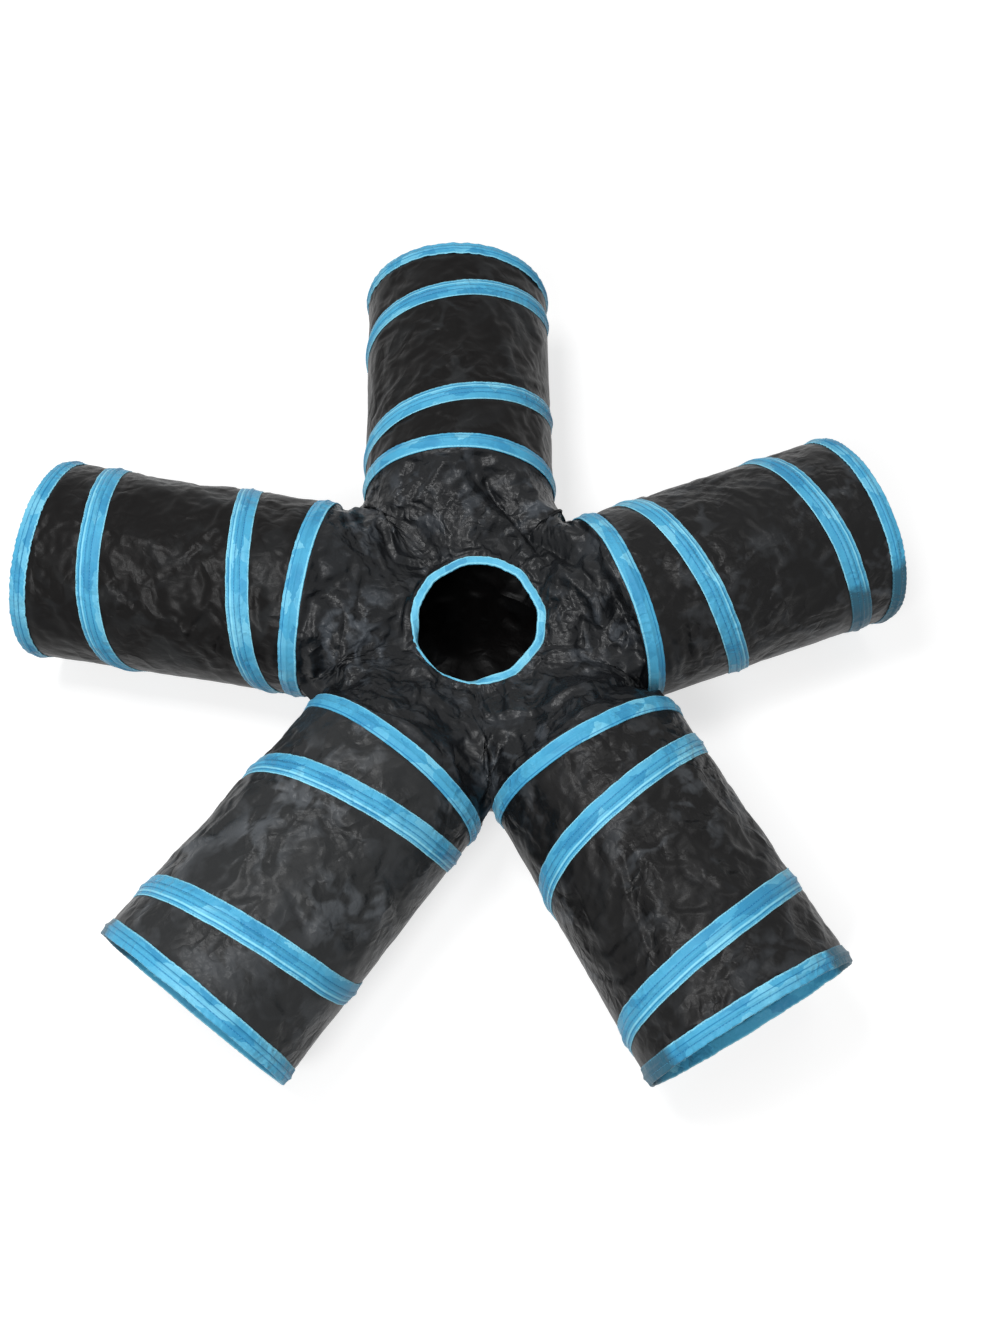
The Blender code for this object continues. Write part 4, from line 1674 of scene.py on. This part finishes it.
    def peephole_band(self, finishes: Finishes) -> bpy.types.Object:
        """Make the narrow tape folded over the peephole's edge, slack at the front left.

        Args:
            finishes: the object's materials.

        Returns:
            The piece.
        """
        bearing = np.linspace(0.0, 2.0 * math.pi, 360, endpoint=False)
        draw = np.random.default_rng(5)
        wave = sum(
            draw.uniform(0.3, 1.0) * np.sin(draw.integers(5, 60) * bearing + draw.uniform(0.0, 6.3))
            for _ in range(10)
        ) / 4.0
        opening, outside = PEEPHOLE_DIAMETER / 2.0, PEEPHOLE_DIAMETER / 2.0 + PEEPHOLE_TAPE_WIDTH
        path = np.array((
            (outside, -1.6), (outside + 0.0002, -0.2), (outside - 0.0004, 0.9), (outside - 0.002, 1.3),
            (opening + 0.006, 1.6), (opening + 0.0025, 1.4), (opening + 0.0008, 0.9), (opening, -0.4),
            (opening + 0.0007, -1.7), (opening + 0.0025, -2.1), (outside - 0.003, -2.0), (outside, -1.6),
        )) * np.array((1.0, MILLIMETRE))
        corners = np.radians(np.array(self.tape_corners))
        last = np.append(corners, corners[0] + 2.0 * math.pi)
        at = np.searchsorted(corners, bearing, side="right") - 1
        at = np.where(at < 0, len(corners) - 1, at)
        turned = np.where(bearing < corners[0], bearing + 2.0 * math.pi, bearing)
        half = (last[at + 1] - last[at]) / 2.0
        chord = np.cos(half) / np.cos(turned - last[at] - half)
        chord = chord / chord.mean()
        for _ in range(30):
            chord = (np.roll(chord, 1) + np.roll(chord, -1) + 2.0 * chord) / 4.0
        away = (np.degrees(bearing) - self.slack_bearing + 180.0) % 360.0 - 180.0
        roll = (math.radians(self.slack_roll) * np.exp(-(away / self.slack_reach) ** 4))[:, None]
        inwards, high = path[None, :, 0] - outside, path[None, :, 1]
        out = outside - 0.0024 * np.sin(roll) ** 2 + inwards * np.cos(roll) - high * np.sin(roll)
        lift = high * np.cos(roll) + inwards * np.sin(roll) + 0.0006 * wave[:, None]
        out = out * (1.0 + 0.85 * (chord[:, None] - 1.0)) + 0.0004 * wave[:, None]
        places = np.stack((out * np.cos(bearing)[:, None], out * np.sin(bearing)[:, None], lift), -1)
        run = np.append(bearing, 2.0 * math.pi) * opening
        steps = along_line(path)
        flat = np.stack(np.broadcast_arrays(run[:, None], steps[None, :]), -1)
        mesh = grid_mesh("peephole_band", places, round_rows=True, uv=flat)
        piece = put("peephole_band", mesh, peephole_frame())
        wear_finish(piece, finishes.peephole_tape)
        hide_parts("peephole_binding")
        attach(piece, "hub")
        return piece

    def dress(self, finishes: Finishes) -> None:
        """Make all of the hub's pieces.

        Args:
            finishes: the object's materials.
        """
        films = {side: self.relaxed(side) for side in Side}
        for side in Side:
            self.panel(side, films, finishes)
        self.floor_patch(finishes)
        self.peephole_band(finishes)


def peephole_frame() -> Matrix:
    """Matrix of the peephole: its centre, with +Z out of the hub and its front edge down."""
    return Matrix.Translation(PEEPHOLE_CENTRE) @ Matrix.Rotation(math.radians(PEEPHOLE_TILT), 4, "X")


@dataclass(frozen=True)
class Lamp:
    """A square soft light that faces a point just above the floor's middle."""

    name: str
    place: tuple[float, float, float]
    size: float
    power: float

    def build(self) -> None:
        """Put the lamp in the scene."""
        light = bpy.data.lights.new(self.name, "AREA")
        light.size = self.size
        light.energy = self.power
        lamp = bpy.data.objects.new(self.name, light)
        lamp.location = self.place
        towards = Vector((0.0, 0.0, 0.1)) - Vector(self.place)
        lamp.rotation_euler = towards.to_track_quat("-Z", "Y").to_euler()
        bpy.context.scene.collection.objects.link(lamp)


@dataclass(frozen=True)
class Studio:
    """The camera, the soft lights and the pale floor."""

    eye: tuple[float, float, float] = (0.0347, -0.7322, 1.4852)
    pitch: float = 62.82
    roll: float = 2.08
    lens: float = 33.35
    ambient: float = 0.28
    lamps: tuple[Lamp, ...] = (
        Lamp("key", (-0.6, -1.6, 2.2), 0.7, 31.0),
        Lamp("top_left", (-0.7, 0.1, 2.3), 0.7, 26.0),
        Lamp("top_right", (0.6, 0.3, 2.3), 0.7, 5.0),
    )

    def camera(self) -> None:
        """Place the camera at the photograph's viewing angle."""
        data = bpy.data.cameras.new("camera")
        data.lens = self.lens
        data.sensor_width = 36.0
        data.clip_start = 0.02
        camera = bpy.data.objects.new("camera", data)
        pitch, roll = math.radians(self.pitch), math.radians(self.roll)
        right, up = Vector((1.0, 0.0, 0.0)), Vector((0.0, math.sin(pitch), math.cos(pitch)))
        across = math.cos(roll) * right + math.sin(roll) * up
        upright = math.cos(roll) * up - math.sin(roll) * right
        turn = Matrix((across, upright, across.cross(upright))).transposed().to_4x4()
        camera.matrix_world = Matrix.Translation(self.eye) @ turn
        bpy.context.scene.collection.objects.link(camera)
        bpy.context.scene.camera = camera

    def white_for_camera(self, wires: Wiring) -> bpy.types.NodeSocket:
        """Mark the rays to which the background looks white.

        Args:
            wires: wiring of the material or the world.

        Returns:
            A mask that is 1 for the camera's rays, for glossy ones and for those through clear parts.
        """
        path = wires.add("LightPath")
        seen = wires.maths("MAXIMUM", path.outputs["Is Camera Ray"], path.outputs["Is Glossy Ray"])
        return wires.maths("MAXIMUM", seen, path.outputs["Is Transmission Ray"])

    def floor(self) -> None:
        """Lay a wide pale floor that keeps the object's shadow."""
        half = 4.0
        mesh = bpy.data.meshes.new("floor")
        corners = [(-half, -half, 0.0), (half, -half, 0.0), (half, half, 0.0), (-half, half, 0.0)]
        mesh.from_pydata(corners, [], [(0, 1, 2, 3)])
        floor = put("floor", mesh)
        made, wires, shader = new_material("pale_floor")
        made.node_tree.nodes.remove(shader)
        seen = self.white_for_camera(wires)
        colour = wires.mix(seen, (0.22, 0.22, 0.22), (0.45, 0.45, 0.45))
        paint = wires.add("BsdfDiffuse", sockets={"Color": colour})
        place = wires.add("TexCoord").outputs["Object"]
        away = wires.add("VectorMath", operation="LENGTH", sockets={0: place}).outputs["Value"]
        level = wires.ramp(away, 0.9, 2.6, 0.68, 0.90)
        glow = wires.add("Emission", sockets={"Strength": wires.maths("MULTIPLY", seen, level)})
        both = wires.add("AddShader", sockets={0: paint.outputs[0], 1: glow.outputs[0]})
        wires.feed(made.node_tree.nodes["Material Output"], {"Surface": both.outputs[0]})
        mesh.materials.append(made)

    def world(self) -> None:
        """Make the soft light all round, white where the camera sees it."""
        world = bpy.data.worlds.new("studio")
        bpy.context.scene.world = world
        world.use_nodes = True
        wires = Wiring(world.node_tree)
        level = wires.ramp(self.white_for_camera(wires), 0.0, 1.0, self.ambient, 1.0)
        background = world.node_tree.nodes["Background"]
        wires.feed(background, {"Strength": level, "Color": (1.0, 1.0, 1.0, 1.0)})

    def build(self) -> None:
        """Put everything round the object."""
        self.camera()
        self.floor()
        self.world()
        for lamp in self.lamps:
            lamp.build()
        bpy.context.scene.view_settings.view_transform = "Standard"


# Some arms list spots where their tapes get painted shade.
ARMS = (
    Arm("right", 17.8, 0.0095, 23.4, seed=11, crumple=0.05,
        painted_shade_spots=((ARM_LENGTH, 172.0), (0.262, 178.0)), folds=(
        arm_fold(((0.151, 70), (0.181, 104), (0.219, 102)), -0.0016),
        arm_fold(((0.099, 86), (0.135, 96)), -0.0018),
        arm_fold(((0.157, 103), (0.171, 117), (0.169, 128), (0.135, 144), (0.127, 154)), 0.0024),
        arm_fold(((0.191, 133), (0.139, 156)), -0.0020),
        arm_fold(((0.043, 130), (0.040, 150), (0.033, 174)), 0.0024),
        arm_fold(((0.054, 134), (0.058, 152), (0.064, 172)), 0.0022),
        arm_fold(((0.072, 138), (0.080, 168)), 0.0018),
        arm_fold(((0.022, 140), (0.026, 170)), 0.0018),
        arm_fold(((0.012, 94), (0.040, 108), (0.064, 121)), -0.0014),
        arm_fold(((0.034, 96), (0.054, 128)), 0.0014),
    )),
    Arm("back", 97.0, 0.0495, 93.2, seed=12, crumple=0.022, fabric=Fabric.CALM, folds=(
        arm_fold(((0.147, 88), (0.109, 96)), 0.0016),
        arm_fold(((0.133, 74), (0.094, 92)), 0.0022),
        arm_fold(((0.201, 92), (0.148, 89)), 0.0014, 0.005),
        arm_fold(((0.182, 124), (0.120, 130)), 0.0010, 0.005),
    )),
    Arm("left", 164.8, 0.0355, 171.9, seed=13, crumple=0.026, fabric=Fabric.CALM, folds=(
        arm_fold(((0.160, 30), (0.093, 41)), 0.0020, 0.005),
        arm_fold(((0.222, 54), (0.178, 42)), 0.0022),
        arm_fold(((0.243, 104), (0.229, 122)), -0.0012),
        arm_fold(((0.050, 62), (0.026, 35)), 0.0016),
    )),
    Arm("front_left", 243.0, 0.0225, 235.3, seed=14, crumple=0.05, fabric=Fabric.WORN,
        hub_tape_share=0.89, painted_shade_spots=((ARM_LENGTH, 176.0),), folds=(
        arm_fold(((0.190, 84), (0.209, 68), (0.227, 48)), 0.0022),
        arm_fold(((0.089, 51), (0.120, 47), (0.153, 40)), 0.0016),
        arm_fold(((0.188, 92), (0.149, 92), (0.127, 84)), -0.0014),
        arm_fold(((0.243, 92), (0.212, 95)), -0.0012),
        arm_fold(((0.292, 100), (0.304, 90)), 0.0014),
        arm_fold(((0.101, 107), (0.128, 102)), 0.0012),
        arm_fold(((0.103, 92), (0.115, 75), (0.108, 56)), 0.0018),
        arm_fold(((0.151, 58), (0.173, 43)), 0.0014),
    )),
    Arm("front_right", 312.2, 0.0395, 301.0, seed=15, crumple=0.045, hub_tape_share=0.89,
        painted_shade_spots=((ARM_LENGTH, 20.0), (ARM_LENGTH, 178.0)), folds=(
        arm_fold(((0.128, 112), (0.170, 119), (0.205, 123), (0.268, 128)), 0.0030, 0.004),
        arm_fold(((0.128, 144), (0.196, 150)), -0.0018),
        arm_fold(((0.212, 153), (0.205, 124)), 0.0024),
        arm_fold(((0.107, 86), (0.141, 80), (0.176, 70), (0.226, 46)), -0.0026, 0.003),
        arm_fold(((0.162, 63), (0.155, 42)), -0.0016),
        arm_fold(((0.158, 88), (0.183, 94), (0.207, 90)), 0.0018),
        arm_fold(((0.211, 108), (0.233, 92)), 0.0016),
        arm_fold(((0.030, 112), (0.073, 116)), 0.0016),
        arm_fold(((0.033, 154), (0.020, 139)), -0.0012),
        arm_fold(((0.286, 114), (0.321, 82)), 0.0016),
        arm_fold(((0.179, 88), (0.212, 80), (0.222, 68)), -0.0014),
    )),
)


HUB_FOLDS = (
    Fold((
        (-0.027, 0.222), (-0.006, 0.187), (0.021, 0.158), (0.053, 0.131), (0.090, 0.085), (0.107, 0.057),
    ), 0.009, 0.007),
    Fold((
        (-0.008, 0.220), (0.018, 0.173), (0.050, 0.140), (0.095, 0.100), (0.128, 0.062), (0.164, 0.008),
        (0.191, -0.041),
    ), 0.010, 0.007),
    Fold(((-0.036, 0.210), (-0.055, 0.180), (-0.078, 0.152)), -0.006, 0.005),
    Fold(((-0.125, 0.124), (-0.100, 0.084), (-0.051, 0.088)), -0.005, 0.004),
    Fold(((-0.130, 0.176), (-0.121, 0.148), (-0.108, 0.118)), 0.008, 0.008),
    Fold((
        (0.120, 0.140), (0.143, 0.070), (0.162, 0.019), (0.183, -0.020), (0.198, -0.055),
    ), 0.007, 0.006),
    Fold((
        (0.004, -0.111), (0.039, -0.118), (0.093, -0.114), (0.130, -0.100), (0.186, -0.064),
    ), -0.005, 0.005),
    Fold(((-0.020, -0.165), (-0.008, -0.198), (0.010, -0.243)), 0.008, 0.006),
    Fold(((0.052, -0.140), (0.035, -0.173), (0.016, -0.235)), 0.008, 0.006),
    Fold(((-0.182, -0.040), (-0.154, -0.060), (-0.130, -0.092)), -0.006, 0.006),
    Fold(((-0.192, -0.055), (-0.165, -0.070), (-0.150, -0.105)), 0.008, 0.007),
    Fold(((-0.208, 0.031), (-0.176, 0.007), (-0.149, -0.028)), 0.005, 0.007),
)


def main() -> None:
    """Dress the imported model."""
    logging.basicConfig(level=logging.INFO, format="%(name)s: %(message)s")
    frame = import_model()
    studio = Studio()
    studio.build()
    effects = Effects()
    finishes = Finishes(
        polyester=CrinkledPolyester().material("crinkled_polyester", effects),
        # A calmer copy of the polyester, its colours painted darker as shade, for the back and left arms
        # and the floor.
        calm_polyester=CrinkledPolyester(
            colour=(0.0036, 0.0032, 0.0032), sheen_colour=(0.016, 0.017, 0.018), facet=0.036, slope=0.15,
            gloss=0.11,
        ).material("smooth_shaded_polyester", effects),
        # A copy of the polyester with colours painted lighter, as light falling on the front left arm.
        worn_polyester=CrinkledPolyester(
            colour=(0.0190, 0.0200, 0.0208), sheen_colour=(0.072, 0.078, 0.085), facet=0.028,
        ).material("worn_polyester", effects),
        hub_polyester=CrinkledPolyester(
            colour=(0.0066, 0.0074, 0.0086), sheen_colour=(0.048, 0.055, 0.064), facet=0.022, slope=0.32,
            roughness=0.32, gloss=0.20,
        ).material("limp_hub_polyester", effects),
        # The arms' listed spots get painted shade on the coil's and the mouth's tapes.
        coil_tape=SatinTape(
            edges=(-0.0136, 0.0136, 0.0080), grooves=(-0.0034, 0.0034, 0.0100),
            painted_shade_spots=tuple(place for arm in ARMS for place in arm.painted_shade_places(False)),
        ).material("coil_satin_tape", effects),
        ring_tape=SatinTape(edges=(-0.0098,), grooves=(0.0072,)).material("ring_satin_tape", effects),
        mouth_tape=SatinTape(
            edges=(0.0015, 0.0240), grooves=(0.0085, 0.0150),
            painted_shade_spots=tuple(place for arm in ARMS for place in arm.painted_shade_places(True)),
        ).material("mouth_satin_tape", effects),
        peephole_tape=SatinTape(
            edges=(0.0030, 0.0120), colour=(0.115, 0.470, 0.700),
        ).material("peephole_satin_tape", effects),
        thread=SewingThread().material("blue_thread"),
        steel=SpringSteel().material("spring_steel_wire"),
    )
    for arm in ARMS:
        arm.dress(finishes)
    Hub(ARMS, HUB_FOLDS).dress(finishes)


if __name__ == "__main__":
    main()
